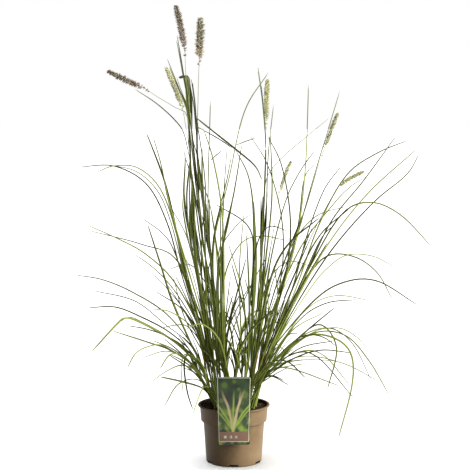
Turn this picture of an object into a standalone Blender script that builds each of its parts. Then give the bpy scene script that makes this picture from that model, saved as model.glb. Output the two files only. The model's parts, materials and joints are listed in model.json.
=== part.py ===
"""A fountain grass clump in a plastic nursery pot, with its flower heads and its plant label.

Units are metres, +Z is up. The origin is the middle of the pot's flat underside, and the front,
where the label hangs, faces -Y. Leaves and flower stems are laid out in centimetres as they are
seen from the front, and each one's depth, from front (-) to back (+), is given with it.
"""
import math

import bmesh
import bpy
import numpy as np
from mathutils import Quaternion, Vector

CM = 0.01
MM = 0.001

# Pot: a standard 19 cm, 3 litre nursery pot
POT_HEIGHT = 0.152
RIM_RADIUS = 0.095
RIM_HEIGHT = 0.0035
COLLAR_RADIUS = 0.0905
COLLAR_HEIGHT = 0.043
COLLAR_TAPER = 0.0037
STEP_DEPTH = 0.006
STEP_RISE = 0.0006
INNER_STEP_RISE = 0.0002
RIM_EDGE = 0.0004
BASE_RADIUS = 0.073
BASE_CHAMFER = 0.0012
POT_WALL = 0.0015
POT_FLOOR = 0.0025
POT_SIDES = 30
NOTCH_COUNT = 6
NOTCH_WIDTH = 0.024
NOTCH_HEIGHT = 0.005
NOTCH_REACH = 0.005
CUTTER_EXCESS = 0.01
SHARP_ANGLE = math.radians(30)
MERGE_DISTANCE = 1e-6

# Soil
SOIL_TOP = 0.145
SOIL_GAP = 0.0004
FOOT_DEPTH = 0.010

# Label: a card with rounded corners, held by a tongue that goes over the rim into the soil
CARD_BOTTOM = 0.066
CARD_TOP = 0.244
CARD_BOTTOM_WIDTH = 0.080
CARD_TOP_WIDTH = 0.089
CARD_CORNER = 0.005
CORNER_STEPS = 3
CARD_ROLL = math.radians(1.0)
CARD_THICKNESS = 0.0009
CARD_FRONT = -0.0964
TONGUE_WIDTH = 0.024
TONGUE_BACK = -0.0805
TONGUE_BOTTOM = 0.112
TONGUE_OVER_RIM = 0.0008

# The eye that sees the clump from the front
EYE_DISTANCE = 3.6
EYE_HEIGHT = 0.98

# The crown: where stems and leaf shoots can stand on the soil
CROWN_RADIUS_X = 0.060
CROWN_RADIUS_Y = 0.060
CROWN_SPACING = 0.0115

# Stems, sheaths and leaves
CLEARANCE = 0.0006
CULM_RADIUS = 0.0015
CULM_TOP_RADIUS = 0.0009
CULM_SIDES = 5
SHEATH_RADII = np.array([0.0030, 0.0029, 0.0018])
SHEATH_SIDES = 5
SOCKET_GAP = 0.0005
BLADE_KEEL = 0.24
BLADE_SPINE = 0.0005
BLADE_TAPER = 0.48
BLADE_BASE_SHARE = 0.62
BLADE_FULL_AT = 0.3
PLUME_SIDES = 7
PLUME_PROFILE = ((0.0, 0.40), (0.06, 0.82), (0.25, 1.0), (0.75, 0.96), (0.94, 0.66))
PLUME_GAP = 0.0004
CURVE_STEPS = 16
TURN_PER_STATION = math.radians(38)
BEND_WEIGHT = 1.5
KNEE_HEIGHT = 0.004
SHEATH_LEAN = 0.05
SHEATH_LEAN_TRIALS = (1.0, 0.8, 0.6, 0.4, 0.2, 0.0)
TOP_LEAF_SHARE = 0.9
LEAF_SPACING = 0.22
TWIST_LEAST = math.radians(18)
TWIST_RANGE = math.radians(34)
TWIST_AT_BASE = 0.5
GOLDEN = 0.618
DEPTH_POWER = 1.4

# How a leaf or stem is moved until it is clear of the others: steps of its tip's depth and of its bow
TIP_SHIFT = 0.015
TIP_SHIFTS = 12
BOW_SHIFT = 0.008
BOW_SHIFTS = 6
BOW_COST = 2.5

# Colours: base colour, roughness
POT_LOOK = ((0.27, 0.19, 0.13), 0.45)
SOIL_LOOK = ((0.020, 0.013, 0.009), 0.95)
LABEL_LOOK = ((0.10, 0.16, 0.06), 0.35)
CULM_LOOK = ((0.12, 0.17, 0.05), 0.5)
LEAF_LOOK = ((0.09, 0.17, 0.04), 0.5)
DARK_PLUME_LOOK = ((0.14, 0.10, 0.06), 0.85)
KHAKI_PLUME_LOOK = ((0.26, 0.22, 0.12), 0.85)
YOUNG_PLUME_LOOK = ((0.36, 0.40, 0.17), 0.85)

# Flower stems, in cm. foot: where the stem stands on the soil (across, depth). depth: of the head's
# tip. culm: the points that the stem passes, from low to high. head: the flower head's axis from its
# base to its tip. width: the head's width. leaves: leaves that grow from the stem, as in LEAF_SHOOTS,
# but the first point of each is its joint on the stem.
FLOWER_STEMS = [
    {"foot": (-3.6, 1.0), "depth": 7, "look": DARK_PLUME_LOOK, "width": 1.9,
     "culm": [(-5.0, 34), (-8.4, 62), (-9.7, 75), (-10.8, 86), (-12.3, 101)],
     "head": [(-12.6, 107.8), (-13.2, 111), (-14.0, 115.5), (-15.0, 119.2)],
     "leaves": [(13, 13.0, [(-10.9, 87), (-11.4, 93), (-11.8, 98), (-12.4, 101.2), (-14.3, 100.8)]),
                (9, 4.8, [(-11.6, 93), (-12.9, 101), (-13.6, 105.5), (-14.6, 111.5)])]},
    {"foot": (-3.0, -1.6), "depth": -6, "look": KHAKI_PLUME_LOOK, "width": 2.0,
     "culm": [(-4.4, 40), (-7.0, 60), (-9.4, 79), (-9.2, 96)],
     "head": [(-8.9, 105.4), (-8.8, 109), (-8.6, 113), (-8.6, 116)],
     "leaves": [(-20, 8.6, [(-9.4, 90.4), (-6.5, 88.0), (0.3, 82.7), (5.5, 78.2), (7.4, 74.4)]),
                (-12, 5.4, [(-9.3, 88.6), (-6.0, 86.2), (-3.0, 84.4), (-0.5, 82.6)]),
                (-3, 5.4, [(-9.3, 84), (-9.9, 92), (-10.3, 96), (-11.0, 100.4)])]},
    {"foot": (-4.9, -2.8), "depth": -14, "look": DARK_PLUME_LOOK, "width": 1.6,
     "culm": [(-8.6, 42), (-11.6, 61), (-12.2, 70.5), (-11.3, 81), (-12.1, 90.9), (-15.0, 93.0),
              (-20.0, 96.0)],
     "head": [(-23.2, 98.1), (-27.0, 99.7), (-30.0, 101.2), (-32.6, 102.4)],
     "leaves": [(-10, 5.4, [(-11.3, 80), (-12.9, 86.5), (-15.3, 90), (-20.0, 94.2), (-25.5, 97.8)])]},
    {"foot": (-4.4, 3.6), "depth": 15, "look": YOUNG_PLUME_LOOK, "width": 1.25,
     "culm": [(-7.0, 40), (-10.6, 62), (-10.9, 74), (-11.8, 84), (-12.6, 89.0)],
     "head": [(-13.1, 92.4), (-14.4, 96), (-16.2, 100.4), (-17.5, 103.4)],
     "leaves": [(16, 5.4, [(-11.4, 81), (-12.0, 92), (-14.0, 97.5), (-17.2, 105.6)])]},
    {"foot": (4.6, 2.2), "depth": 8, "look": YOUNG_PLUME_LOOK, "width": 1.35,
     "culm": [(5.6, 34), (7.4, 60), (8.1, 76), (8.3, 85)],
     "head": [(8.3, 88.6), (8.35, 93), (8.5, 97.4), (8.7, 100.4)],
     "leaves": [(22, 4.0, [(8.0, 71), (8.8, 75.5), (12.3, 80), (18.0, 84.9), (24.5, 90.3)]),
                (3, 4.4, [(8.2, 82), (7.9, 90), (7.2, 97), (6.2, 103.5)])]},
    {"foot": (5.2, -1.4), "depth": -11, "look": YOUNG_PLUME_LOOK, "width": 1.0,
     "culm": [(8.2, 36), (13.6, 54), (18.3, 66), (21.6, 77)],
     "head": [(23.3, 82.0), (24.4, 85), (25.7, 88.8), (26.9, 91.7)],
     "leaves": []},
    {"foot": (3.8, 4.4), "depth": 17, "look": YOUNG_PLUME_LOOK, "width": 1.0,
     "culm": [(5.6, 34), (8.8, 52), (10.7, 63.5)],
     "head": [(11.8, 70.6), (12.7, 73.8), (13.8, 77), (14.9, 79.3)],
     "leaves": []},
    {"foot": (5.8, 1.2), "depth": 13, "look": YOUNG_PLUME_LOOK, "width": 1.0,
     "culm": [(9.2, 32), (15.6, 49), (20.6, 60.5), (24.2, 67.6)],
     "head": [(26.9, 72.2), (29.0, 74.0), (31.5, 75.5), (33.8, 76.6)],
     "leaves": []},
]

# Leaf shoots, in cm. Each has the place of its foot (across, depth), the height of its sheath above
# the soil, and its leaves. A leaf is the depth of its tip, its width in mm, and the points that it
# passes from its lower part to its tip.
LEAF_SHOOTS = {
    "leaf_shoot_left_1": ((-5.6, -2.6), 8, [
        (-15, 6.0, [(-11.0, 25.5), (-16.5, 29.5), (-23.0, 31.8), (-32.0, 34.7)]),
        (-24, 4.8, [(-11.5, 26.0), (-17.0, 30.0), (-20.5, 31.0), (-25.5, 29.0), (-28.2, 24.5)]),
        (-7, 6.0, [(-9.0, 22.0), (-12.0, 25.0), (-17.2, 28.4)]),
        (-26, 5.4, [(-7.6, 26.0), (-10.0, 34.5), (-16.0, 39.5), (-22.0, 40.6)])]),
    "leaf_shoot_left_2": ((-5.6, -0.6), 9, [
        (-18, 6.8, [(-11.0, 27.3), (-16.5, 32.5), (-24.0, 36.7), (-28.2, 38.1), (-30.6, 36.6),
                    (-37.5, 29.0)]),
        (-7, 5.4, [(-12.5, 29.5), (-17.0, 33.0), (-22.5, 35.1), (-28.0, 36.1)]),
        (4, 5.4, [(-9.5, 24.0), (-14.0, 28.8), (-18.5, 32.7)])]),
    "leaf_shoot_left_3": ((-5.8, 1.2), 9, [
        (13, 6.0, [(-11.0, 29.0), (-17.0, 34.5), (-24.0, 38.3), (-31.0, 41.0), (-38.3, 40.8)]),
        (-15, 4.8, [(-8.6, 31.0), (-12.0, 35.8), (-15.3, 36.2), (-19.5, 35.3)]),
        (9, 4.8, [(-9.8, 24.5), (-12.0, 28.8), (-14.6, 33.0)])]),
    "leaf_shoot_left_4": ((-5.4, 3.0), 10, [
        (16, 5.4, [(-11.0, 31.0), (-18.0, 39.5), (-27.0, 45.2), (-34.5, 48.3), (-41.5, 49.5)]),
        (30, 4.4, [(-11.5, 31.0), (-18.0, 36.5), (-26.0, 42.7), (-37.0, 45.4)]),
        (23, 4.8, [(-9.0, 33.0), (-13.5, 40.3), (-20.6, 45.2)])]),
    "leaf_shoot_left_5": ((-4.4, -4.4), 6, [
        (-18, 5.4, [(-9.2, 23.4), (-13.5, 25.6), (-17.5, 24.2), (-21.9, 21.1)]),
        (-12, 7.4, [(-8.5, 19.6), (-12.5, 20.9), (-19.4, 22.4)]),
        (-14, 4.8, [(-9.8, 24.3), (-14.5, 28.3), (-18.5, 29.3), (-24.0, 27.5)]),
        (-26, 4.4, [(-9.0, 21.5), (-14.5, 20.6), (-18.5, 14.3)])]),
    "leaf_shoot_left_6": ((-3.2, -5.2), 7, [
        (-20, 6.0, [(-8.4, 25.0), (-11.9, 28.5), (-13.1, 25.5), (-12.3, 18.5), (-10.8, 13.5)]),
        (-15, 4.8, [(-6.6, 19.6), (-8.3, 19.3), (-9.7, 16.0), (-10.8, 12.5)]),
        (-27, 5.2, [(-8.6, 23.5), (-13.5, 28.0), (-16.8, 28.3), (-19.5, 24.5)])]),
    "leaf_shoot_left_7": ((-4.8, 0.4), 12, [
        (5, 6.0, [(-8.6, 33.0), (-13.5, 49.5), (-17.2, 63.0), (-22.5, 73.2), (-31.0, 78.0),
                  (-40.5, 77.7)]),
        (-11, 5.4, [(-8.2, 34.0), (-14.0, 57.0), (-18.5, 71.0), (-24.5, 77.3), (-31.0, 78.0),
                    (-36.4, 76.0)])]),
    "leaf_shoot_left_8": ((-4.6, 2.2), 12, [
        (12, 7.4, [(-7.6, 31.0), (-12.5, 49.0), (-15.3, 62.5), (-17.2, 71.0), (-19.0, 77.0),
                   (-22.8, 87.0)]),
        (24, 4.8, [(-7.8, 38.0), (-11.8, 58.0), (-16.5, 67.5)])]),
    "leaf_shoot_left_9": ((-4.6, -1.4), 11, [
        (-13, 5.4, [(-9.0, 35.0), (-15.5, 47.6), (-23.0, 55.0), (-31.0, 59.4), (-38.5, 62.7)]),
        (-20, 5.4, [(-8.6, 36.0), (-14.8, 54.0), (-18.0, 60.0), (-24.3, 64.8)]),
        (-31, 6.0, [(-8.8, 26.0), (-15.7, 41.5), (-19.2, 52.5), (-22.5, 63.0)])]),
    "leaf_shoot_left_10": ((-3.8, 4.6), 10, [
        (27, 4.4, [(-8.6, 38.0), (-15.0, 53.4), (-24.0, 57.5), (-38.0, 61.2)]),
        (21, 4.8, [(-7.6, 28.0), (-13.0, 38.5), (-15.8, 49.0)]),
        (36, 4.8, [(-6.0, 30.0), (-10.0, 42.0), (-14.3, 53.0)])]),
    "leaf_shoot_upright_1": ((-3.6, 2.4), 12, [
        (18, 5.4, [(-6.8, 30.0), (-9.4, 48.0), (-10.6, 62.0), (-10.4, 74.0)]),
        (9, 5.4, [(-5.5, 43.0), (-8.0, 57.0), (-9.7, 70.0)])]),
    "leaf_shoot_upright_2": ((-3.8, -2.2), 12, [
        (-17, 5.4, [(-6.2, 30.0), (-9.8, 52.0), (-11.4, 68.0), (-11.1, 80.0), (-11.5, 91.0)]),
        (-9, 5.4, [(-6.0, 31.0), (-9.8, 54.0), (-10.3, 70.0)])]),
    "leaf_shoot_upright_3": ((-2.6, 0.4), 12, [
        (5, 5.4, [(-6.0, 38.0), (-7.4, 58.0), (-8.4, 75.0), (-10.8, 86.0)]),
        (-8, 5.4, [(-6.6, 34.0), (-7.4, 56.0), (-7.4, 74.0), (-9.8, 92.0)])]),
    "leaf_shoot_upright_4": ((-1.8, 3.0), 12, [
        (19, 5.4, [(-4.4, 34.0), (-6.2, 54.0), (-6.4, 70.0)]),
        (28, 4.8, [(-3.6, 34.0), (-4.6, 56.0), (-6.0, 67.0), (-9.0, 76.0)])]),
    "leaf_shoot_centre_1": ((-1.4, -3.6), 10, [
        (-24, 6.0, [(-2.2, 29.0), (-0.8, 38.0), (3.2, 54.0)]),
        (-14, 5.4, [(-2.5, 30.0), (-3.3, 50.0), (-3.5, 70.0)]),
        (-19, 4.8, [(-2.9, 32.0), (-3.6, 50.0), (-6.0, 67.0)])]),
    "leaf_shoot_centre_2": ((2.2, -4.6), 9, [
        (-19, 4.8, [(1.8, 23.5), (0.3, 29.5), (-2.1, 33.0)]),
        (-28, 5.4, [(3.7, 27.0), (3.1, 38.0), (-0.7, 53.0)]),
        (-12, 6.0, [(4.0, 28.0), (4.0, 44.0), (3.3, 60.5)])]),
    "leaf_shoot_centre_3": ((1.6, 3.4), 10, [
        (30, 5.4, [(2.9, 32.0), (2.4, 44.0), (-1.5, 58.0)]),
        (38, 4.8, [(3.6, 36.0), (5.0, 54.0), (3.5, 62.5), (-5.3, 68.3)]),
        (22, 4.8, [(2.0, 30.0), (1.4, 50.0), (2.6, 66.0)])]),
    "leaf_shoot_centre_4": ((-2.2, 4.6), 9, [
        (31, 6.0, [(-3.6, 32.0), (-2.6, 48.5), (1.5, 57.6), (7.0, 59.8), (13.5, 58.6)]),
        (40, 4.8, [(-4.0, 30.0), (-6.0, 44.0), (-11.0, 52.0), (-17.0, 51.0)])]),
    "leaf_shoot_centre_5": ((-2.6, -2.8), 11, [
        (-20, 4.8, [(-4.2, 34.0), (-3.6, 54.5), (0.0, 61.8), (4.8, 65.8)]),
        (-30, 5.2, [(-4.4, 34.0), (-4.2, 50.0), (-1.5, 63.0), (-0.1, 70.0)])]),
    "leaf_shoot_centre_6": ((-1.8, -0.4), 12, [
        (7, 6.0, [(-4.6, 38.0), (-5.4, 57.0), (-1.6, 74.0), (2.6, 92.0), (9.0, 102.3)]),
        (-10, 5.4, [(-2.6, 46.0), (-3.0, 65.0), (-5.2, 79.0), (-8.0, 88.0)]),
        (-3, 4.8, [(-5.2, 44.0), (-6.6, 66.0), (-6.0, 94.8)])]),
    "leaf_shoot_centre_7": ((-0.8, 1.8), 12, [
        (17, 5.4, [(-3.4, 38.0), (-2.9, 57.0), (0.0, 71.0), (2.1, 84.0)]),
        (27, 4.2, [(-3.0, 40.0), (-2.8, 66.0), (-1.8, 83.0)])]),
    "leaf_shoot_centre_8": ((-0.4, -5.2), 7, [
        (-24, 6.8, [(0.6, 23.5), (1.4, 29.0), (4.7, 35.0), (10.5, 40.5)]),
        (-30, 5.4, [(-1.6, 24.0), (-4.0, 32.5), (-8.5, 36.5), (-13.0, 35.0)])]),
    "leaf_shoot_centre_9": ((0.6, 5.4), 7, [
        (33, 6.0, [(1.2, 28.0), (2.4, 36.0), (6.0, 40.0), (11.0, 39.0)]),
        (38, 5.4, [(0.2, 28.0), (-1.6, 37.0), (-6.0, 40.0), (-10.0, 37.0)])]),
    "leaf_shoot_right_1": ((3.6, -1.0), 12, [
        (-6, 7.4, [(4.8, 36.0), (5.8, 52.0), (5.2, 69.0)]),
        (-9, 5.2, [(5.0, 38.0), (5.2, 62.0), (4.0, 74.5), (0.3, 82.5)])]),
    "leaf_shoot_right_2": ((4.2, 0.8), 12, [
        (6, 5.4, [(6.6, 36.0), (7.2, 54.0), (8.2, 77.0)]),
        (14, 4.8, [(6.4, 36.0), (8.2, 60.0), (8.8, 80.0), (10.2, 94.0)])]),
    "leaf_shoot_right_3": ((4.2, -2.8), 11, [
        (-13, 4.8, [(6.2, 30.0), (8.2, 52.0), (9.9, 70.0), (9.4, 87.0)]),
        (-22, 6.0, [(6.6, 34.0), (9.6, 54.0), (13.2, 68.5), (17.0, 76.5), (21.2, 82.4)])]),
    "leaf_shoot_right_4": ((5.0, 0.0), 12, [
        (-5, 5.4, [(8.6, 31.0), (13.6, 50.0), (14.7, 64.0), (12.4, 78.0), (8.3, 86.5)]),
        (5, 5.4, [(9.2, 34.0), (16.0, 58.0), (18.4, 77.0), (19.2, 99.0)]),
        (14, 4.4, [(9.2, 36.0), (16.2, 60.0), (18.2, 74.5), (21.4, 78.9)])]),
    "leaf_shoot_right_5": ((4.8, 2.4), 12, [
        (18, 5.4, [(8.6, 33.0), (14.6, 53.0), (20.6, 75.0), (27.3, 97.5)]),
        (26, 4.2, [(8.6, 36.0), (17.0, 56.0), (25.0, 67.0), (30.0, 72.4), (34.5, 75.3)])]),
    "leaf_shoot_right_6": ((5.6, -1.8), 9, [
        (-9, 6.0, [(8.4, 27.0), (16.0, 45.5), (22.0, 62.5), (29.0, 75.4), (37.0, 81.3),
                   (45.5, 84.8)]),
        (-22, 4.8, [(8.4, 27.0), (15.0, 45.0), (22.0, 59.3), (30.5, 67.3)])]),
    "leaf_shoot_right_7": ((5.8, 0.6), 9, [
        (8, 6.0, [(9.2, 28.0), (17.0, 44.5), (25.0, 58.5), (35.0, 71.2), (48.0, 83.0)]),
        (20, 5.4, [(9.2, 29.0), (17.3, 46.0), (25.0, 63.0), (33.8, 74.4), (42.5, 86.5)])]),
    "leaf_shoot_right_8": ((5.0, -3.4), 9, [
        (-7, 6.0, [(9.6, 31.0), (20.0, 52.0), (28.0, 65.4), (35.5, 68.6), (43.5, 65.2),
                   (52.0, 56.5)]),
        (-28, 5.2, [(8.8, 29.0), (16.5, 45.0), (22.5, 58.5), (26.5, 63.0)])]),
    "leaf_shoot_right_9": ((3.6, -4.4), 10, [
        (-32, 6.0, [(6.2, 31.0), (9.5, 48.0), (14.0, 57.3), (22.5, 64.7)]),
        (-34, 5.2, [(4.6, 32.0), (5.4, 54.0), (8.6, 62.0), (14.3, 61.0)]),
        (-24, 5.2, [(7.4, 27.0), (11.4, 41.0), (10.7, 51.5)])]),
    "leaf_shoot_right_10": ((3.4, 4.8), 10, [
        (32, 4.2, [(7.4, 34.0), (14.0, 55.0), (21.0, 64.6), (29.5, 67.5)]),
        (38, 5.2, [(5.4, 32.0), (8.6, 47.0), (14.0, 53.0), (21.0, 51.5)]),
        (25, 4.8, [(8.4, 25.0), (11.6, 35.0), (8.3, 41.5)])]),
    "leaf_shoot_right_11": ((5.8, -3.0), 8, [
        (-11, 6.0, [(9.4, 29.0), (20.5, 42.3), (28.5, 47.5), (37.5, 47.9), (48.5, 41.3)]),
        (-24, 4.8, [(9.4, 27.0), (17.0, 37.5), (24.0, 42.0), (32.5, 43.0)]),
        (-16, 6.0, [(8.6, 22.5), (16.5, 32.3), (26.5, 41.0)])]),
    "leaf_shoot_right_12": ((5.4, 3.2), 8, [
        (17, 5.4, [(9.4, 29.0), (17.0, 45.0), (23.5, 54.0), (31.0, 54.4), (37.5, 50.0),
                   (41.7, 42.5)]),
        (25, 4.8, [(8.8, 26.0), (18.0, 39.5), (26.0, 44.0), (36.0, 42.7)]),
        (36, 4.8, [(8.0, 23.0), (15.0, 34.5), (24.0, 39.8)])]),
    "leaf_shoot_right_13": ((4.6, -4.2), 7, [
        (-17, 6.8, [(9.6, 25.5), (18.5, 33.0), (25.5, 33.1), (30.6, 29.0), (31.2, 20.5),
                    (27.6, 5.5)]),
        (-22, 6.0, [(9.0, 24.5), (17.5, 33.6), (23.0, 36.3), (27.0, 30.0), (24.6, 18.7)])]),
    "leaf_shoot_right_14": ((6.0, -1.0), 6, [
        (-9, 5.0, [(10.0, 24.5), (17.5, 30.2), (26.5, 32.1)]),
        (-13, 5.4, [(10.0, 23.5), (16.0, 27.5), (23.0, 29.6), (31.3, 28.8)]),
        (-22, 4.6, [(9.6, 24.0), (15.5, 28.6), (22.0, 27.7), (32.0, 16.2)])]),
    "leaf_shoot_right_15": ((6.0, 1.8), 6, [
        (10, 4.4, [(7.9, 24.5), (14.0, 26.4), (20.0, 27.1), (27.0, 26.7)]),
        (18, 4.4, [(7.4, 23.1), (14.0, 24.8), (28.0, 19.9)]),
        (15, 4.4, [(8.1, 23.3), (18.0, 28.0), (29.0, 26.0), (38.5, 21.0)]),
        (27, 4.6, [(8.0, 23.8), (17.0, 29.0), (23.5, 28.2), (30.5, 20.2)])]),
    "leaf_shoot_right_16": ((4.8, 4.2), 7, [
        (28, 5.2, [(9.4, 25.5), (18.0, 33.4), (25.5, 35.4), (31.5, 31.0), (36.2, 21.5)]),
        (20, 5.4, [(9.6, 25.0), (20.0, 33.8), (29.0, 33.6), (35.6, 26.6), (41.1, 17.2)])]),
    "leaf_shoot_right_17": ((2.4, -5.4), 6, [
        (-16, 5.4, [(6.4, 21.0), (9.8, 22.7), (14.5, 20.3)]),
        (-24, 4.8, [(6.0, 22.0), (9.0, 26.0), (14.0, 26.5), (19.0, 22.0)])]),
    "leaf_shoot_right_18": ((1.8, 5.6), 6, [
        (26, 5.4, [(6.4, 21.5), (11.0, 24.5), (19.0, 26.0)]),
        (34, 5.2, [(4.4, 22.0), (5.6, 29.0), (9.5, 32.0), (15.0, 28.0)])]),
}


def seen(x, z, depth):
    """Place a point seen from the front at x, z on the pot's middle plane, at its real depth."""
    scale = (EYE_DISTANCE + depth) / EYE_DISTANCE
    return Vector((x * scale, depth, EYE_HEIGHT + (z - EYE_HEIGHT) * scale))


def make_material(name, look):
    colour, roughness = look
    material = bpy.data.materials.new(name)
    material.use_nodes = True
    shader = material.node_tree.nodes["Principled BSDF"]
    shader.inputs["Base Color"].default_value = (*colour, 1.0)
    shader.inputs["Roughness"].default_value = roughness
    material.diffuse_color = (*colour, 1.0)
    return material


def add_object(name, mesh, look):
    mesh.name = name
    obj = bpy.data.objects.new(name, mesh)
    bpy.context.scene.collection.objects.link(obj)
    obj.data.materials.clear()
    obj.data.materials.append(make_material(name, look))
    return obj


def mesh_from(bm):
    bmesh.ops.recalc_face_normals(bm, faces=bm.faces)
    mesh = bpy.data.meshes.new("shape")
    bm.to_mesh(mesh)
    bm.free()
    return mesh


def combine(base, others, operation):
    """Join the closed meshes in others to base, or cut them out of it, and return the new mesh."""
    group = bpy.data.collections.new("operands")
    bpy.context.scene.collection.children.link(group)
    for mesh in others:
        group.objects.link(bpy.data.objects.new("operand", mesh))
    body = bpy.data.objects.new("body", base)
    bpy.context.scene.collection.objects.link(body)
    modifier = body.modifiers.new("combine", "BOOLEAN")
    modifier.operation = operation
    modifier.solver = "EXACT"
    modifier.operand_type = "COLLECTION"
    modifier.collection = group
    graph = bpy.context.evaluated_depsgraph_get()
    result = bpy.data.meshes.new_from_object(body.evaluated_get(graph))
    for obj in [body, *group.objects]:
        bpy.data.objects.remove(obj)
    bpy.data.collections.remove(group)
    return result


def turned(profile, sides):
    """Turn a closed outline of (radius, height) points, whose ends lie on the axis, about Z."""
    bm = bmesh.new()
    verts = [bm.verts.new((radius, 0, height)) for radius, height in profile]
    edges = [bm.edges.new(pair) for pair in zip(verts, verts[1:])]
    bmesh.ops.spin(bm, geom=verts + edges, cent=(0, 0, 0), axis=(0, 0, 1), steps=sides,
                   angle=math.tau, use_merge=True)
    bmesh.ops.remove_doubles(bm, verts=bm.verts, dist=MERGE_DISTANCE)
    return mesh_from(bm)


def box(low, high):
    bm = bmesh.new()
    bmesh.ops.create_cube(bm, size=1.0)
    size = Vector(high) - Vector(low)
    centre = (Vector(high) + Vector(low)) / 2
    bmesh.ops.scale(bm, vec=size, verts=bm.verts)
    bmesh.ops.translate(bm, vec=centre, verts=bm.verts)
    return mesh_from(bm)


def smooth_points(points, steps=CURVE_STEPS):
    """Points along the smooth curve that passes through the given ones."""
    ends = [2 * points[0] - points[1], *points, 2 * points[-1] - points[-2]]
    curve = []
    for before, start, end, after in zip(ends, ends[1:], ends[2:], ends[3:]):
        for step in range(steps):
            t = step / steps
            curve.append(0.5 * (2 * start + (end - before) * t
                                + (2 * before - 5 * start + 4 * end - after) * t ** 2
                                + (3 * start - before - 3 * end + after) * t ** 3))
    return [*curve, points[-1].copy()]


def stations(curve, fewest=3, most=9):
    """Thin a curve to the few points that hold its form: closer together where it bends."""
    measure = [0.0]
    length = sum((b - a).length for a, b in zip(curve, curve[1:]))
    turn = sum((b - a).angle(c - b) for a, b, c in zip(curve, curve[1:], curve[2:]))
    for index, (a, b) in enumerate(zip(curve, curve[1:])):
        bend = (b - a).angle(curve[index + 2] - b) if index + 2 < len(curve) else 0.0
        measure.append(measure[-1] + (b - a).length / length
                       + BEND_WEIGHT * bend / max(turn, 1.0))
    count = max(fewest, min(most, 3 + round(turn / TURN_PER_STATION)))
    picked = np.interp(np.linspace(0, measure[-1], count + 1), measure, range(len(curve)))
    return [curve[round(index)] for index in picked]


def tangents(path):
    after = [*path[1:], 2 * path[-1] - path[-2]]
    before = [2 * path[0] - path[1], *path[:-1]]
    return [(b - a).normalized() for a, b in zip(before, after)]


def skin_rings(rings, tip=None):
    """Close a row of rings of points into one solid, ending in the tip point if there is one."""
    bm = bmesh.new()
    rows = [[bm.verts.new(point) for point in ring] for ring in rings]
    sides = len(rows[0])
    bm.faces.new(rows[0])
    for row, upper in zip(rows, rows[1:]):
        for i in range(sides):
            j = (i + 1) % sides
            bm.faces.new((row[i], row[j], upper[j], upper[i]))
    if tip is None:
        bm.faces.new(rows[-1])
    else:
        point = bm.verts.new(tip)
        for i in range(sides):
            bm.faces.new((rows[-1][i], rows[-1][(i + 1) % sides], point))
    bmesh.ops.triangulate(bm, faces=bm.faces)
    return mesh_from(bm)


def round_rings(path, directions, radii, sides):
    """Round sections along a path, turned about it as little as can be."""
    across = Vector((1, 0, 0))
    rings = []
    for point, along, radius in zip(path, directions, radii):
        across = (across - along * across.dot(along)).normalized()
        other = along.cross(across)
        rings.append([point + float(radius) * (math.cos(a) * across + math.sin(a) * other)
                      for a in (math.tau * i / sides for i in range(sides))])
    return rings


def tube(path, radii, sides):
    return skin_rings(round_rings(path, tangents(path), radii, sides))


def share_along(path):
    lengths = [0.0]
    for a, b in zip(path, path[1:]):
        lengths.append(lengths[-1] + (b - a).length)
    return [length / lengths[-1] for length in lengths]


def blade_half_width(share, width):
    growth = BLADE_BASE_SHARE + (1 - BLADE_BASE_SHARE) * min(share / BLADE_FULL_AT, 1.0)
    return 0.5 * width * growth * (1 - share) ** BLADE_TAPER


def blade(path, width, twist):
    """A leaf blade: flat above, keeled below, slowly turning about itself and running to a point."""
    outward = path[-1] - path[0]
    outward.z = 0
    flat_across = Vector((0, 0, 1)).cross(outward.normalized())
    shares = share_along(path)
    rings = []
    for point, along, share in list(zip(path, tangents(path), shares))[:-1]:
        half = blade_half_width(share, width)
        side = (flat_across - along * flat_across.dot(along)).normalized()
        side = Quaternion(along, twist * (TWIST_AT_BASE + share)) @ side
        under = side.cross(along)
        keel = BLADE_KEEL * half * 2 + BLADE_SPINE
        rings.append([point - half * side, point + half * side, point + keel * under])
    return skin_rings(rings, path[-1])


class Clump:
    """Keeps the axis of everything planted so far, so that the next piece can be laid clear of it."""

    def __init__(self):
        self.starts = np.empty((0, 3))
        self.ends = np.empty((0, 3))
        self.radii = np.empty(0)
        self.owners = np.empty(0, dtype=int)

    def plant(self, owner, path, radii):
        points = np.array(path)
        reach = np.maximum(radii[:-1], radii[1:])
        self.starts = np.vstack([self.starts, points[:-1]])
        self.ends = np.vstack([self.ends, points[1:]])
        self.radii = np.append(self.radii, reach)
        self.owners = np.append(self.owners, [owner] * len(reach))

    def room(self, owner, path, radii):
        """The smallest gap from a path to what others own; below zero where they meet."""
        others = self.owners != owner
        if not others.any():
            return math.inf
        points = np.array(path)
        reach = np.maximum(radii[:-1], radii[1:])
        gaps = segment_gaps(points[:-1], points[1:], self.starts[others], self.ends[others])
        return float((gaps - reach[:, None] - self.radii[others][None, :]).min())


def segment_gaps(starts, ends, other_starts, other_ends):
    """The distance between each line segment of one set and each of the other."""
    a = (ends - starts)[:, None, :]
    b = (other_ends - other_starts)[None, :, :]
    between = starts[:, None, :] - other_starts[None, :, :]
    aa = (a * a).sum(-1)
    bb = (b * b).sum(-1)
    ab = (a * b).sum(-1)
    a_between = (a * between).sum(-1)
    b_between = (b * between).sum(-1)
    spread = np.maximum(aa * bb - ab * ab, 1e-12)
    s = np.clip((ab * b_between - bb * a_between) / spread, 0, 1)
    t = np.clip((ab * s + b_between) / bb, 0, 1)
    s = np.clip((ab * t - a_between) / aa, 0, 1)
    nearest = between + s[..., None] * a - t[..., None] * b
    return np.sqrt((nearest * nearest).sum(-1))


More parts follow.
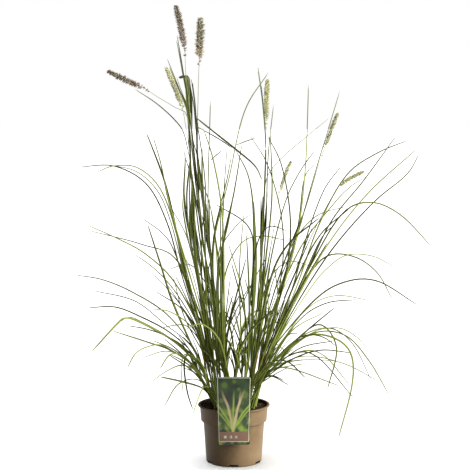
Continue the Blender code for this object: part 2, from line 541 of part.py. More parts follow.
def crown_places():
    """Places for feet on the soil, in staggered rows across the crown."""
    places = []
    row_step = CROWN_SPACING * math.sqrt(3) / 2
    rows = int(CROWN_RADIUS_Y / row_step)
    columns = int(CROWN_RADIUS_X / CROWN_SPACING) + 1
    for row in range(-rows, rows + 1):
        for column in range(-columns, columns + 1):
            x = (column + 0.5 * (row % 2)) * CROWN_SPACING
            y = row * row_step
            if (x / CROWN_RADIUS_X) ** 2 + (y / CROWN_RADIUS_Y) ** 2 <= 1:
                places.append(Vector((x, y)))
    return places


def take_place(places, wanted):
    """The free place nearest to the wanted one, which is then no longer free."""
    target = Vector(wanted) * CM
    nearest = min(places, key=lambda place: (place - target).length)
    places.remove(nearest)
    return nearest


def lay_out(start, marks, start_depth, tip_depth, bow):
    """The points of a stem or a leaf from its start to its tip, at their real depths.

    The depth grows slowly at first, as a leaf bends out from an upright start.
    """
    flat = [Vector((start.x, start.z)), *(Vector(mark) * CM for mark in marks)]
    shares = share_along(flat)
    points = [start]
    for (x, z), share in list(zip(flat, shares))[1:]:
        depth = start_depth + (tip_depth - start_depth) * share ** DEPTH_POWER
        depth += bow * math.sin(math.pi * share)
        points.append(seen(x, z, depth))
    return points


def lay_clear(clump, owner, start, marks, tip_depth, axis_of):
    """Lay a leaf or stem, and move its tip in depth, or bow it, until it clears the others.

    axis_of turns the laid points into the axis and the radii that need the room.
    """
    trials = [(tip * TIP_SHIFT, bow * BOW_SHIFT)
              for tip in range(-TIP_SHIFTS, TIP_SHIFTS + 1)
              for bow in range(-BOW_SHIFTS, BOW_SHIFTS + 1)]
    trials.sort(key=lambda trial: abs(trial[0]) + BOW_COST * abs(trial[1]))
    best_room = -math.inf
    for tip_shift, bow in trials:
        points = lay_out(start, marks, start.y, tip_depth + tip_shift, bow)
        room = clump.room(owner, *axis_of(points))
        if room > best_room:
            best_room = room
            best_points = points
        if room > CLEARANCE:
            break
    if best_room < CLEARANCE:
        print("tight", marks[-1], round(best_room / MM, 2))
    return best_points


def build_pot():
    step = POT_HEIGHT - COLLAR_HEIGHT
    collar_low = COLLAR_RADIUS - COLLAR_TAPER
    body_top = collar_low - STEP_DEPTH
    body_top_inside = body_top - POT_WALL
    base_inside = BASE_RADIUS - POT_WALL
    lip_low = POT_HEIGHT - RIM_HEIGHT
    profile = [
        (0, 0),
        (BASE_RADIUS - BASE_CHAMFER, 0),
        (BASE_RADIUS, BASE_CHAMFER),
        (body_top, step),
        (collar_low, step + STEP_RISE),
        (COLLAR_RADIUS, lip_low),
        (RIM_RADIUS, lip_low + RIM_EDGE),
        (RIM_RADIUS - RIM_EDGE, POT_HEIGHT),
        (COLLAR_RADIUS - POT_WALL, POT_HEIGHT),
        (collar_low - POT_WALL, step + POT_WALL),
        (body_top_inside, step + INNER_STEP_RISE),
        (base_inside, POT_FLOOR),
        (0, POT_FLOOR),
    ]
    notches = []
    for index in range(NOTCH_COUNT):
        cutter = box((-NOTCH_WIDTH / 2, -BASE_RADIUS - CUTTER_EXCESS, -CUTTER_EXCESS),
                     (NOTCH_WIDTH / 2, -BASE_RADIUS + NOTCH_REACH, NOTCH_HEIGHT))
        turn = Quaternion((0, 0, 1), math.tau * index / NOTCH_COUNT)
        cutter.transform(turn.to_matrix().to_4x4())
        notches.append(cutter)
    pot = add_object("pot", combine(turned(profile, POT_SIDES), notches, "DIFFERENCE"), POT_LOOK)
    pot.data.shade_smooth()
    pot.data.set_sharp_from_angle(angle=SHARP_ANGLE)


def build_soil(feet):
    """The growing medium, with a socket for each foot and a slot for the label's tongue."""
    step = POT_HEIGHT - COLLAR_HEIGHT
    collar_low = COLLAR_RADIUS - COLLAR_TAPER - POT_WALL
    body_top = COLLAR_RADIUS - COLLAR_TAPER - STEP_DEPTH - POT_WALL
    rise = (SOIL_TOP - step) / COLLAR_HEIGHT
    top_radius = collar_low + COLLAR_TAPER * rise
    profile = [
        (0, POT_FLOOR + SOIL_GAP),
        (BASE_RADIUS - POT_WALL - SOIL_GAP, POT_FLOOR + SOIL_GAP),
        (body_top - SOIL_GAP, step + INNER_STEP_RISE),
        (collar_low - 2 * SOIL_GAP, step + POT_WALL + SOIL_GAP),
        (top_radius - 2 * SOIL_GAP, SOIL_TOP),
        (0, SOIL_TOP),
    ]
    cutters = [box((-TONGUE_WIDTH / 2 - SOIL_GAP, TONGUE_BACK - CARD_THICKNESS - SOIL_GAP,
                    TONGUE_BOTTOM - SOIL_GAP),
                   (TONGUE_WIDTH / 2 + SOIL_GAP, TONGUE_BACK + SOIL_GAP, SOIL_TOP + CUTTER_EXCESS))]
    for place, radius, sides in feet:
        axis = [Vector((place.x, place.y, SOIL_TOP - FOOT_DEPTH - SOIL_GAP)),
                Vector((place.x, place.y, SOIL_TOP + CUTTER_EXCESS))]
        cutters.append(tube(axis, [radius + SOCKET_GAP] * 2, sides))
    add_object("soil", combine(turned(profile, POT_SIDES), cutters, "DIFFERENCE"), SOIL_LOOK)


def card_outline():
    """The card's outline, wider at the top, with round corners and a slight roll."""
    middle = (CARD_BOTTOM + CARD_TOP) / 2
    corners = [(-CARD_BOTTOM_WIDTH / 2, CARD_BOTTOM), (CARD_BOTTOM_WIDTH / 2, CARD_BOTTOM),
               (CARD_TOP_WIDTH / 2, CARD_TOP), (-CARD_TOP_WIDTH / 2, CARD_TOP)]
    outline = []
    for index, (x, z) in enumerate(corners):
        inset = (x - math.copysign(CARD_CORNER, x), z - math.copysign(CARD_CORNER, z - middle))
        for step in range(CORNER_STEPS + 1):
            angle = math.pi + (index + step / CORNER_STEPS) * math.pi / 2
            outline.append((inset[0] + CARD_CORNER * math.cos(angle),
                            inset[1] + CARD_CORNER * math.sin(angle)))
    turned_outline = []
    for x, z in outline:
        up = z - middle
        turned_outline.append((x * math.cos(CARD_ROLL) - up * math.sin(CARD_ROLL),
                               middle + x * math.sin(CARD_ROLL) + up * math.cos(CARD_ROLL)))
    return turned_outline


def extruded(outline, direction):
    """A flat closed outline of points made solid along a direction."""
    bm = bmesh.new()
    face = bm.faces.new([bm.verts.new(point) for point in outline])
    pushed = bmesh.ops.extrude_face_region(bm, geom=[face])
    verts = [item for item in pushed["geom"] if isinstance(item, bmesh.types.BMVert)]
    bmesh.ops.translate(bm, vec=direction, verts=verts)
    return mesh_from(bm)


def build_label():
    card = extruded([(x, CARD_FRONT, z) for x, z in card_outline()], (0, CARD_THICKNESS, 0))
    over = POT_HEIGHT + TONGUE_OVER_RIM
    front = CARD_FRONT + CARD_THICKNESS / 2
    hook = [(front, over), (TONGUE_BACK - CARD_THICKNESS, over),
            (TONGUE_BACK - CARD_THICKNESS, TONGUE_BOTTOM), (TONGUE_BACK, TONGUE_BOTTOM),
            (TONGUE_BACK, over + CARD_THICKNESS), (front, over + CARD_THICKNESS)]
    tongue = extruded([(-TONGUE_WIDTH / 2, y, z) for y, z in hook], (TONGUE_WIDTH, 0, 0))
    add_object("label", combine(card, [tongue], "UNION"), LABEL_LOOK)


def twist_for(number):
    """How far a leaf turns about itself; it differs from leaf to leaf."""
    lean = TWIST_LEAST + TWIST_RANGE * ((GOLDEN * number) % 1.0)
    return lean if number % 2 else -lean


def leaf_axis(points, width):
    path = stations(smooth_points(points))
    return path, np.array([blade_half_width(share, width) for share in share_along(path)])


def grow_leaves(clump, owner, leaves, starts):
    """Lay the leaves of one shoot or stem clear of the others, and return their solids."""
    solids = []
    for index, ((depth, width, marks), start) in enumerate(zip(leaves, starts)):
        def axis_of(points, leaf_width=width * MM):
            return leaf_axis(points, leaf_width)

        points = lay_clear(clump, owner, start, marks, depth * CM, axis_of)
        path, radii = axis_of(points)
        clump.plant(owner, path, radii)
        solids.append(blade(path, width * MM, twist_for(5 * owner + index)))
    return solids


def stem_curves(stem, points):
    """The smooth curve through a stem's points, parted into the culm and the flower head."""
    curve = smooth_points(points)
    head_start = (len(stem["culm"]) + 1) * CURVE_STEPS
    return curve[:head_start + 1], curve[head_start:]


def lay_flower_stem(clump, owner, stem, place):
    """Find the way of a culm and its flower head, and return their curves."""
    head_radius = stem["width"] * CM / 2
    knee = Vector((*place, SOIL_TOP + KNEE_HEIGHT))

    def axis_of(points):
        culm, head = stem_curves(stem, points)
        path = stations(culm)
        radii = [CULM_RADIUS] * len(path) + [head_radius] * 2
        return [*path, head[len(head) // 2], head[-1]], np.array(radii)

    marks = [*stem["culm"], *stem["head"]]
    points = lay_clear(clump, owner, knee, marks, stem["depth"] * CM, axis_of)
    clump.plant(owner, *axis_of(points))
    return stem_curves(stem, points)


def build_flower_stem(clump, number, stem, place, culm_curve):
    """A culm from the soil to its flower head, with the leaves that grow from it."""
    foot = Vector((*place, SOIL_TOP - FOOT_DEPTH))
    path = [foot, *stations(culm_curve)]
    path[-1] = path[-1] - PLUME_GAP * (path[-1] - path[-2]).normalized()
    taper = CULM_TOP_RADIUS - CULM_RADIUS
    culm = tube(path, [CULM_RADIUS + taper * share for share in share_along(path)], CULM_SIDES)
    starts = []
    leaves = []
    for depth, width, (joint, *marks) in stem["leaves"]:
        starts.append(min(culm_curve, key=lambda point: abs(point.z - joint[1] * CM)))
        leaves.append((depth, width, marks))
    solids = grow_leaves(clump, number, leaves, starts)
    mesh = combine(culm, solids, "UNION") if solids else culm
    add_object(f"flower_stem_{number}", mesh, CULM_LOOK)


def build_plume(number, stem, head_curve):
    """A flower head: a spindle as wide as its bristles reach."""
    radius = stem["width"] * CM / 2
    last = len(head_curve) - 1
    path = [head_curve[round(share * last)] for share, swell in PLUME_PROFILE]
    radii = [radius * swell for share, swell in PLUME_PROFILE]
    rings = round_rings(path, tangents([*path, head_curve[-1]]), radii, PLUME_SIDES)
    add_object(f"plume_{number}", skin_rings(rings, head_curve[-1]), stem["look"])


def lay_sheath(clump, owner, shoot, place):
    """The axis of a sheath: up from the soil, leaning the way of its leaves where it has room."""
    wanted, height, leaves = shoot
    foot = Vector((*place, SOIL_TOP - FOOT_DEPTH))
    knee = Vector((*place, SOIL_TOP + KNEE_HEIGHT))
    count = len(leaves)
    first_x = sum(marks[0][0] for depth, width, marks in leaves) / count * CM
    first_z = sum(marks[0][1] for depth, width, marks in leaves) / count * CM
    mean_depth = sum(depth for depth, width, marks in leaves) / count * CM
    rise = (height * CM - KNEE_HEIGHT) / (first_z - knee.z)
    best_room = -math.inf
    for lean in SHEATH_LEAN_TRIALS:
        top = Vector((place.x + lean * (first_x - place.x) * rise,
                      place.y + lean * SHEATH_LEAN * mean_depth, SOIL_TOP + height * CM))
        room = clump.room(owner, [foot, knee, top], SHEATH_RADII)
        if room > best_room:
            best_room = room
            axis = [foot, knee, top]
        if room > CLEARANCE:
            break
    if best_room < CLEARANCE:
        print("tight sheath", wanted, round(best_room / MM, 2))
    clump.plant(owner, axis, SHEATH_RADII)
    return axis


def build_leaf_shoot(clump, owner, name, shoot, axis):
    """One tiller: a sheath from the soil, and the leaf blades that leave it."""
    knee, top = axis[1:]
    leaves = shoot[2]
    starts = [knee.lerp(top, TOP_LEAF_SHARE - LEAF_SPACING * index) for index in range(len(leaves))]
    solids = grow_leaves(clump, owner, leaves, starts)
    sheath = tube(axis, SHEATH_RADII, SHEATH_SIDES)
    add_object(name, combine(sheath, solids, "UNION"), LEAF_LOOK)


def clear_scene():
    for obj in list(bpy.data.objects):
        bpy.data.objects.remove(obj)


def main():
    clear_scene()
    places = crown_places()
    clump = Clump()
    feet = []
    stems = []
    for number, stem in enumerate(FLOWER_STEMS, 1):
        place = take_place(places, stem["foot"])
        feet.append((place, CULM_RADIUS, CULM_SIDES))
        stems.append((number, stem, place, *lay_flower_stem(clump, number, stem, place)))
    sheaths = []
    for owner, (name, shoot) in enumerate(LEAF_SHOOTS.items(), len(stems) + 1):
        place = take_place(places, shoot[0])
        feet.append((place, SHEATH_RADII[0], SHEATH_SIDES))
        sheaths.append((owner, name, shoot, lay_sheath(clump, owner, shoot, place)))
    for number, stem, place, culm_curve, head_curve in stems:
        build_flower_stem(clump, number, stem, place, culm_curve)
        build_plume(number, stem, head_curve)
    for owner, name, shoot, axis in sheaths:
        build_leaf_shoot(clump, owner, name, shoot, axis)
    build_pot()
    build_soil(feet)
    build_label()


main()
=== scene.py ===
# Looks for a fountain grass clump in its nursery pot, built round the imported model.
# Lengths are metres; the layout lists are in centimetres as seen from the front.
import json
import math

import bmesh
import bpy
import numpy as np
from mathutils import Matrix, Quaternion, Vector, noise

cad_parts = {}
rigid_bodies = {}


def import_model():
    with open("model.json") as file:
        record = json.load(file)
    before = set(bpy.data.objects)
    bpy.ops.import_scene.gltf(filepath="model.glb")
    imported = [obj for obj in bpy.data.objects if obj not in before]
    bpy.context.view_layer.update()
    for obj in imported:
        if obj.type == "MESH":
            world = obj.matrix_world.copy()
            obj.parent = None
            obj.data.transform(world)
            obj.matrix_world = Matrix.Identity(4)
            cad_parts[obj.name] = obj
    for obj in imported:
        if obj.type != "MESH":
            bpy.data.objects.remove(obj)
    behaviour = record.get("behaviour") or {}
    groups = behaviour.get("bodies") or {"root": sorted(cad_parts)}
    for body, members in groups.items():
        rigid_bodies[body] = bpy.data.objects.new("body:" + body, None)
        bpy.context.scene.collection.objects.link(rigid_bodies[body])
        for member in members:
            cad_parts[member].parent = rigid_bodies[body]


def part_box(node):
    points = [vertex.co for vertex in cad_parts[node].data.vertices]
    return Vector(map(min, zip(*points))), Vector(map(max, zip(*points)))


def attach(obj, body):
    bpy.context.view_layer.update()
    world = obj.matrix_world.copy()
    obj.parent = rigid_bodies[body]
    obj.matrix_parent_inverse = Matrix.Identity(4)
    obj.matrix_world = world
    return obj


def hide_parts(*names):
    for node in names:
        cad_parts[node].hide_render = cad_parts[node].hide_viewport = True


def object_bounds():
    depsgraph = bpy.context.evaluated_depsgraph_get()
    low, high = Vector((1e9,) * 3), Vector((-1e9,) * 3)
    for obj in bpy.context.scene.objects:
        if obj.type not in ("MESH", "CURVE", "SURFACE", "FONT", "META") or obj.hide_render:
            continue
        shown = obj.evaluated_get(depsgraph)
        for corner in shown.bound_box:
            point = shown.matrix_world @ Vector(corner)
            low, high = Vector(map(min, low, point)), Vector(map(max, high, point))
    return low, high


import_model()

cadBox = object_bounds()
cm = 0.01
mm = 0.001


def addObject(name, data):
    made = bpy.data.objects.new(name, data)
    bpy.context.scene.collection.objects.link(made)
    return made


# Camera: the place that the photo was taken from, and its pitch below level in degrees.
view = {"eye": (0.0029, -3.6, 0.98), "pitch": 6.03, "lens": 106.4, "sensor": 36.0, "farthest": 100}

camera = addObject("camera", bpy.data.cameras.new("camera"))
camera.location = view["eye"]
camera.rotation_euler = (math.radians(90 - view["pitch"]), 0, 0)
camera.data.lens = view["lens"]
camera.data.sensor_width = view["sensor"]
camera.data.clip_end = view["farthest"]
bpy.context.scene.camera = camera
print("set the camera")


# Shader maths: a wire is a socket that adds the nodes for what is done with it.
class Wire:
    def __init__(self, tree, socket=None):
        self.tree = tree
        self.socket = socket

    def node(self, kind, settings=(), values=(), output=0):
        made = self.tree.nodes.new("ShaderNode" + kind)
        for name, value in dict(settings).items():
            if name == "stops":
                setStops(made.color_ramp, value)
            else:
                setattr(made, name, value)
        for name, value in dict(values).items():
            if isinstance(value, Wire):
                self.tree.links.new(value.socket, made.inputs[name])
            else:
                made.inputs[name].default_value = value
        return Wire(self.tree, made.outputs[output])

    def maths(self, operation, *values):
        return self.node("Math", {"operation": operation}, enumerate(values))

    def __add__(self, other):
        return self.maths("ADD", self, other)

    def __sub__(self, other):
        return self.maths("SUBTRACT", self, other)

    def __rsub__(self, other):
        return self.maths("SUBTRACT", other, self)

    def __mul__(self, other):
        return self.maths("MULTIPLY", self, other)

    def __pow__(self, other):
        return self.maths("POWER", self, other)

    def __rpow__(self, other):
        return self.maths("POWER", other, self)

    def __abs__(self):
        return self.maths("ABSOLUTE", self)

    __radd__ = __add__
    __rmul__ = __mul__

    def rise(self, low, high):
        # 0 below low, 1 above high, smooth between them; falls instead where low is above high
        values = {"Value": self, "From Min": low, "From Max": high}
        return self.node("MapRange", {"interpolation_type": "SMOOTHSTEP"}, values)

    def mix(self, first, second):
        # the colour first where the wire is 0, and second where it is 1
        return self.node("Mix", {"data_type": "RGBA"}, {0: self, 6: first, 7: second}, 2)

    def ramp(self, *stops):
        return self.node("ValToRGB", {"stops": stops}, {0: self})

    def part(self, axis):
        return self.node("SeparateXYZ", (), {0: self}, "XYZ".index(axis))

    def speckle(self, scale, detail, roughness=0.5):
        values = {"Vector": self, "Scale": scale, "Detail": detail, "Roughness": roughness}
        return self.node("TexNoise", (), values)

    def bump(self, distance, strength):
        return self.node("Bump", (), {"Height": self, "Distance": distance, "Strength": strength})

    def onPiece(self):
        # the place on the piece, in metres
        return self.node("TexCoord", (), (), 3)

    def onStrip(self):
        # round a leaf or tube in X, and along it in Y, both from 0 to 1
        return self.node("UVMap", {"uv_map": "strip"})

    def carried(self, name):
        # a value that the mesh carries at its points
        return self.node("Attribute", {"attribute_name": name}, (), 2)


def setStops(ramp, stops):
    while len(ramp.elements) < len(stops):
        ramp.elements.new(1.0)
    for element, (place, colour) in zip(ramp.elements, stops):
        element.position = place
        element.color = colour


def paint(red, green, blue):
    # an 8-bit screen colour as a shader's linear one
    linear = [(v / 255 / 12.92) if v < 11 else ((v / 255 + 0.055) / 1.055) ** 2.4
              for v in (red, green, blue)]
    return (*linear, 1.0)


def newMaterial(name, fixed):
    # fixed: the shader's values that are the same all over
    material = bpy.data.materials.new(name)
    material.use_nodes = True
    for socket, value in fixed.items():
        material.node_tree.nodes["Principled BSDF"].inputs[socket].default_value = value
    return material


def feed(material, wires):
    for socket, wire in wires.items():
        shader = material.node_tree.nodes["Principled BSDF"]
        material.node_tree.links.new(wire.socket, shader.inputs[socket])


# Places of stems and leaves, read one by one, in cm.

# Flower stems. foot: where the stem stands on the soil (across, depth). depth: of the head's
# tip. culm: the points that the stem passes, from low to high. head: the flower head's axis from its
# base to its tip. width: the head's width. leaves: leaves that grow from the stem, as in leafShoots,
# but the first point of each is its joint on the stem.
flowerStems = [
    {"foot": (-3.6, 1), "depth": 7, "look": "ripeDark", "width": 1.9,
     "culm": [(-5, 34), (-8.4, 62), (-9.7, 75), (-10.8, 86), (-12.3, 101)],
     "head": [(-12.6, 107.8), (-13.2, 111), (-14, 115.5), (-15, 119.2)],
     "leaves": [(13, 13, [(-10.9, 87), (-11.4, 93), (-11.8, 98), (-12.4, 101.2), (-14.3, 100.8)]),
                (9, 4.8, [(-11.6, 93), (-12.9, 101), (-13.6, 105.5), (-14.6, 111.5)])]},
    {"foot": (-3, -1.6), "depth": -6, "look": "ripeKhaki", "width": 2,
     "culm": [(-4.4, 40), (-7, 60), (-9.4, 79), (-9.2, 96)],
     "head": [(-8.9, 105.4), (-8.8, 109), (-8.6, 113), (-8.6, 116)],
     "leaves": [(-20, 8.6, [(-9.4, 90.4), (-6.5, 88), (0.3, 82.7), (5.5, 78.2), (7.4, 74.4)]),
                (-12, 5.4, [(-9.3, 88.6), (-6, 86.2), (-3, 84.4), (-0.5, 82.6)]),
                (-3, 5.4, [(-9.3, 84), (-9.9, 92), (-10.3, 96), (-11, 100.4)])]},
    {"foot": (-4.9, -2.8), "depth": -14, "look": "ripeDark", "width": 1.6,
     "culm": [(-8.6, 42), (-11.6, 61), (-12.2, 70.5), (-11.3, 81), (-12.1, 90.9), (-15, 93),
              (-20, 96)],
     "head": [(-23.2, 98.1), (-27, 99.7), (-30, 101.2), (-32.6, 102.4)],
     "leaves": [(-10, 5.4, [(-11.3, 80), (-12.9, 86.5), (-15.3, 90), (-20, 94.2), (-25.5, 97.8)])]},
    {"foot": (-4.4, 3.6), "depth": 15, "look": "young", "width": 1.25,
     "culm": [(-7, 40), (-10.6, 62), (-10.9, 74), (-11.8, 84), (-12.6, 89)],
     "head": [(-13.1, 92.4), (-14.4, 96), (-16.2, 100.4), (-17.5, 103.4)],
     "leaves": [(16, 5.4, [(-11.4, 81), (-12, 92), (-14, 97.5), (-17.2, 105.6)])]},
    {"foot": (4.6, 2.2), "depth": 8, "look": "young", "width": 1.35,
     "culm": [(5.6, 34), (7.4, 60), (8.1, 76), (8.3, 85)],
     "head": [(8.3, 88.6), (8.35, 93), (8.5, 97.4), (8.7, 100.4)],
     "leaves": [(22, 4, [(8, 71), (8.8, 75.5), (12.3, 80), (18, 84.9), (24.5, 90.3)]),
                (3, 4.4, [(8.2, 82), (7.9, 90), (7.2, 97), (6.2, 103.5)])]},
    {"foot": (5.2, -1.4), "depth": -11, "look": "young", "width": 1,
     "culm": [(8.2, 36), (13.6, 54), (18.3, 66), (21.6, 77)],
     "head": [(23.3, 82), (24.4, 85), (25.7, 88.8), (26.9, 91.7)],
     "leaves": []},
    {"foot": (3.8, 4.4), "depth": 17, "look": "young", "width": 1,
     "culm": [(5.6, 34), (8.8, 52), (10.7, 63.5)],
     "head": [(11.8, 70.6), (12.7, 73.8), (13.8, 77), (14.9, 79.3)],
     "leaves": []},
    {"foot": (5.8, 1.2), "depth": 13, "look": "young", "width": 1,
     "culm": [(9.2, 32), (15.6, 49), (20.6, 60.5), (24.2, 67.6)],
     "head": [(26.9, 72.2), (29, 74), (31.5, 75.5), (33.8, 76.6)],
     "leaves": []},
]

# Leaf shoots. Each has the place of its foot (across, depth), the height of its sheath above
# the soil, and its leaves. A leaf is the depth of its tip, its width in mm, and the points that it
# passes from its lower part to its tip. The solids have the same names, numbered from 1.
leftShoots = [
    ((-5.6, -2.6), 8, [
        (-15, 6, [(-11, 25.5), (-16.5, 29.5), (-23, 31.8), (-32, 34.7)]),
        (-24, 4.8, [(-11.5, 26), (-17, 30), (-20.5, 31), (-25.5, 29), (-28.2, 24.5)]),
        (-7, 6, [(-9, 22), (-12, 25), (-17.2, 28.4)]),
        (-26, 5.4, [(-7.6, 26), (-10, 34.5), (-16, 39.5), (-22, 40.6)])]),
    ((-5.6, -0.6), 9, [
        (-18, 6.8, [(-11, 27.3), (-16.5, 32.5), (-24, 36.7), (-28.2, 38.1), (-30.6, 36.6),
                    (-37.5, 29)]),
        (-7, 5.4, [(-12.5, 29.5), (-17, 33), (-22.5, 35.1), (-28, 36.1)]),
        (4, 5.4, [(-9.5, 24), (-14, 28.8), (-18.5, 32.7)])]),
    ((-5.8, 1.2), 9, [
        (13, 6, [(-11, 29), (-17, 34.5), (-24, 38.3), (-31, 41), (-38.3, 40.8)]),
        (-15, 4.8, [(-8.6, 31), (-12, 35.8), (-15.3, 36.2), (-19.5, 35.3)]),
        (9, 4.8, [(-9.8, 24.5), (-12, 28.8), (-14.6, 33)])]),
    ((-5.4, 3), 10, [
        (16, 5.4, [(-11, 31), (-18, 39.5), (-27, 45.2), (-34.5, 48.3), (-41.5, 49.5)]),
        (30, 4.4, [(-11.5, 31), (-18, 36.5), (-26, 42.7), (-37, 45.4)]),
        (23, 4.8, [(-9, 33), (-13.5, 40.3), (-20.6, 45.2)])]),
    ((-4.4, -4.4), 6, [
        (-18, 5.4, [(-9.2, 23.4), (-13.5, 25.6), (-17.5, 24.2), (-21.9, 21.1)]),
        (-12, 7.4, [(-8.5, 19.6), (-12.5, 20.9), (-19.4, 22.4)]),
        (-14, 4.8, [(-9.8, 24.3), (-14.5, 28.3), (-18.5, 29.3), (-24, 27.5)]),
        (-26, 4.4, [(-9, 21.5), (-14.5, 20.6), (-18.5, 14.3)])]),
    ((-3.2, -5.2), 7, [
        (-20, 6, [(-8.4, 25), (-11.9, 28.5), (-13.1, 25.5), (-12.3, 18.5), (-10.8, 13.5)]),
        (-15, 4.8, [(-6.6, 19.6), (-8.3, 19.3), (-9.7, 16), (-10.8, 12.5)]),
        (-27, 5.2, [(-8.6, 23.5), (-13.5, 28), (-16.8, 28.3), (-19.5, 24.5)])]),
    ((-4.8, 0.4), 12, [
        (5, 6, [(-8.6, 33), (-13.5, 49.5), (-17.2, 63), (-22.5, 73.2), (-31, 78),
                  (-40.5, 77.7)]),
        (-11, 5.4, [(-8.2, 34), (-14, 57), (-18.5, 71), (-24.5, 77.3), (-31, 78),
                    (-36.4, 76)])]),
    ((-4.6, 2.2), 12, [
        (12, 7.4, [(-7.6, 31), (-12.5, 49), (-15.3, 62.5), (-17.2, 71), (-19, 77),
                   (-22.8, 87)]),
        (24, 4.8, [(-7.8, 38), (-11.8, 58), (-16.5, 67.5)])]),
    ((-4.6, -1.4), 11, [
        (-13, 5.4, [(-9, 35), (-15.5, 47.6), (-23, 55), (-31, 59.4), (-38.5, 62.7)]),
        (-20, 5.4, [(-8.6, 36), (-14.8, 54), (-18, 60), (-24.3, 64.8)]),
        (-31, 6, [(-8.8, 26), (-15.7, 41.5), (-19.2, 52.5), (-22.5, 63)])]),
    ((-3.8, 4.6), 10, [
        (27, 4.4, [(-8.6, 38), (-15, 53.4), (-24, 57.5), (-38, 61.2)]),
        (21, 4.8, [(-7.6, 28), (-13, 38.5), (-15.8, 49)]),
        (36, 4.8, [(-6, 30), (-10, 42), (-14.3, 53)])]),
]
uprightShoots = [
    ((-3.6, 2.4), 12, [
        (18, 5.4, [(-6.8, 30), (-9.4, 48), (-10.6, 62), (-10.4, 74)]),
        (9, 5.4, [(-5.5, 43), (-8, 57), (-9.7, 70)])]),
    ((-3.8, -2.2), 12, [
        (-17, 5.4, [(-6.2, 30), (-9.8, 52), (-11.4, 68), (-11.1, 80), (-11.5, 91)]),
        (-9, 5.4, [(-6, 31), (-9.8, 54), (-10.3, 70)])]),
    ((-2.6, 0.4), 12, [
        (5, 5.4, [(-6, 38), (-7.4, 58), (-8.4, 75), (-10.8, 86)]),
        (-8, 5.4, [(-6.6, 34), (-7.4, 56), (-7.4, 74), (-9.8, 92)])]),
    ((-1.8, 3), 12, [
        (19, 5.4, [(-4.4, 34), (-6.2, 54), (-6.4, 70)]),
        (28, 4.8, [(-3.6, 34), (-4.6, 56), (-6, 67), (-9, 76)])]),
]
centreShoots = [
    ((-1.4, -3.6), 10, [
        (-24, 6, [(-2.2, 29), (-0.8, 38), (3.2, 54)]),
        (-14, 5.4, [(-2.5, 30), (-3.3, 50), (-3.5, 70)]),
        (-19, 4.8, [(-2.9, 32), (-3.6, 50), (-6, 67)])]),
    ((2.2, -4.6), 9, [
        (-19, 4.8, [(1.8, 23.5), (0.3, 29.5), (-2.1, 33)]),
        (-28, 5.4, [(3.7, 27), (3.1, 38), (-0.7, 53)]),
        (-12, 6, [(4, 28), (4, 44), (3.3, 60.5)])]),
    ((1.6, 3.4), 10, [
        (30, 5.4, [(2.9, 32), (2.4, 44), (-1.5, 58)]),
        (38, 4.8, [(3.6, 36), (5, 54), (3.5, 62.5), (-5.3, 68.3)]),
        (22, 4.8, [(2, 30), (1.4, 50), (2.6, 66)])]),
    ((-2.2, 4.6), 9, [
        (31, 6, [(-3.6, 32), (-2.6, 48.5), (1.5, 57.6), (7, 59.8), (13.5, 58.6)]),
        (40, 4.8, [(-4, 30), (-6, 44), (-11, 52), (-17, 51)])]),
    ((-2.6, -2.8), 11, [
        (-20, 4.8, [(-4.2, 34), (-3.6, 54.5), (0, 61.8), (4.8, 65.8)]),
        (-30, 5.2, [(-4.4, 34), (-4.2, 50), (-1.5, 63), (-0.1, 70)])]),
    ((-1.8, -0.4), 12, [
        (7, 6, [(-4.6, 38), (-5.4, 57), (-1.6, 74), (2.6, 92), (9, 102.3)]),
        (-10, 5.4, [(-2.6, 46), (-3, 65), (-5.2, 79), (-8, 88)]),
        (-3, 4.8, [(-5.2, 44), (-6.6, 66), (-6, 94.8)])]),
    ((-0.8, 1.8), 12, [
        (17, 5.4, [(-3.4, 38), (-2.9, 57), (0, 71), (2.1, 84)]),
        (27, 4.2, [(-3, 40), (-2.8, 66), (-1.8, 83)])]),
    ((-0.4, -5.2), 7, [
        (-24, 6.8, [(0.6, 23.5), (1.4, 29), (4.7, 35), (10.5, 40.5)]),
        (-30, 5.4, [(-1.6, 24), (-4, 32.5), (-8.5, 36.5), (-13, 35)])]),
    ((0.6, 5.4), 7, [
        (33, 6, [(1.2, 28), (2.4, 36), (6, 40), (11, 39)]),
        (38, 5.4, [(0.2, 28), (-1.6, 37), (-6, 40), (-10, 37)])]),
]
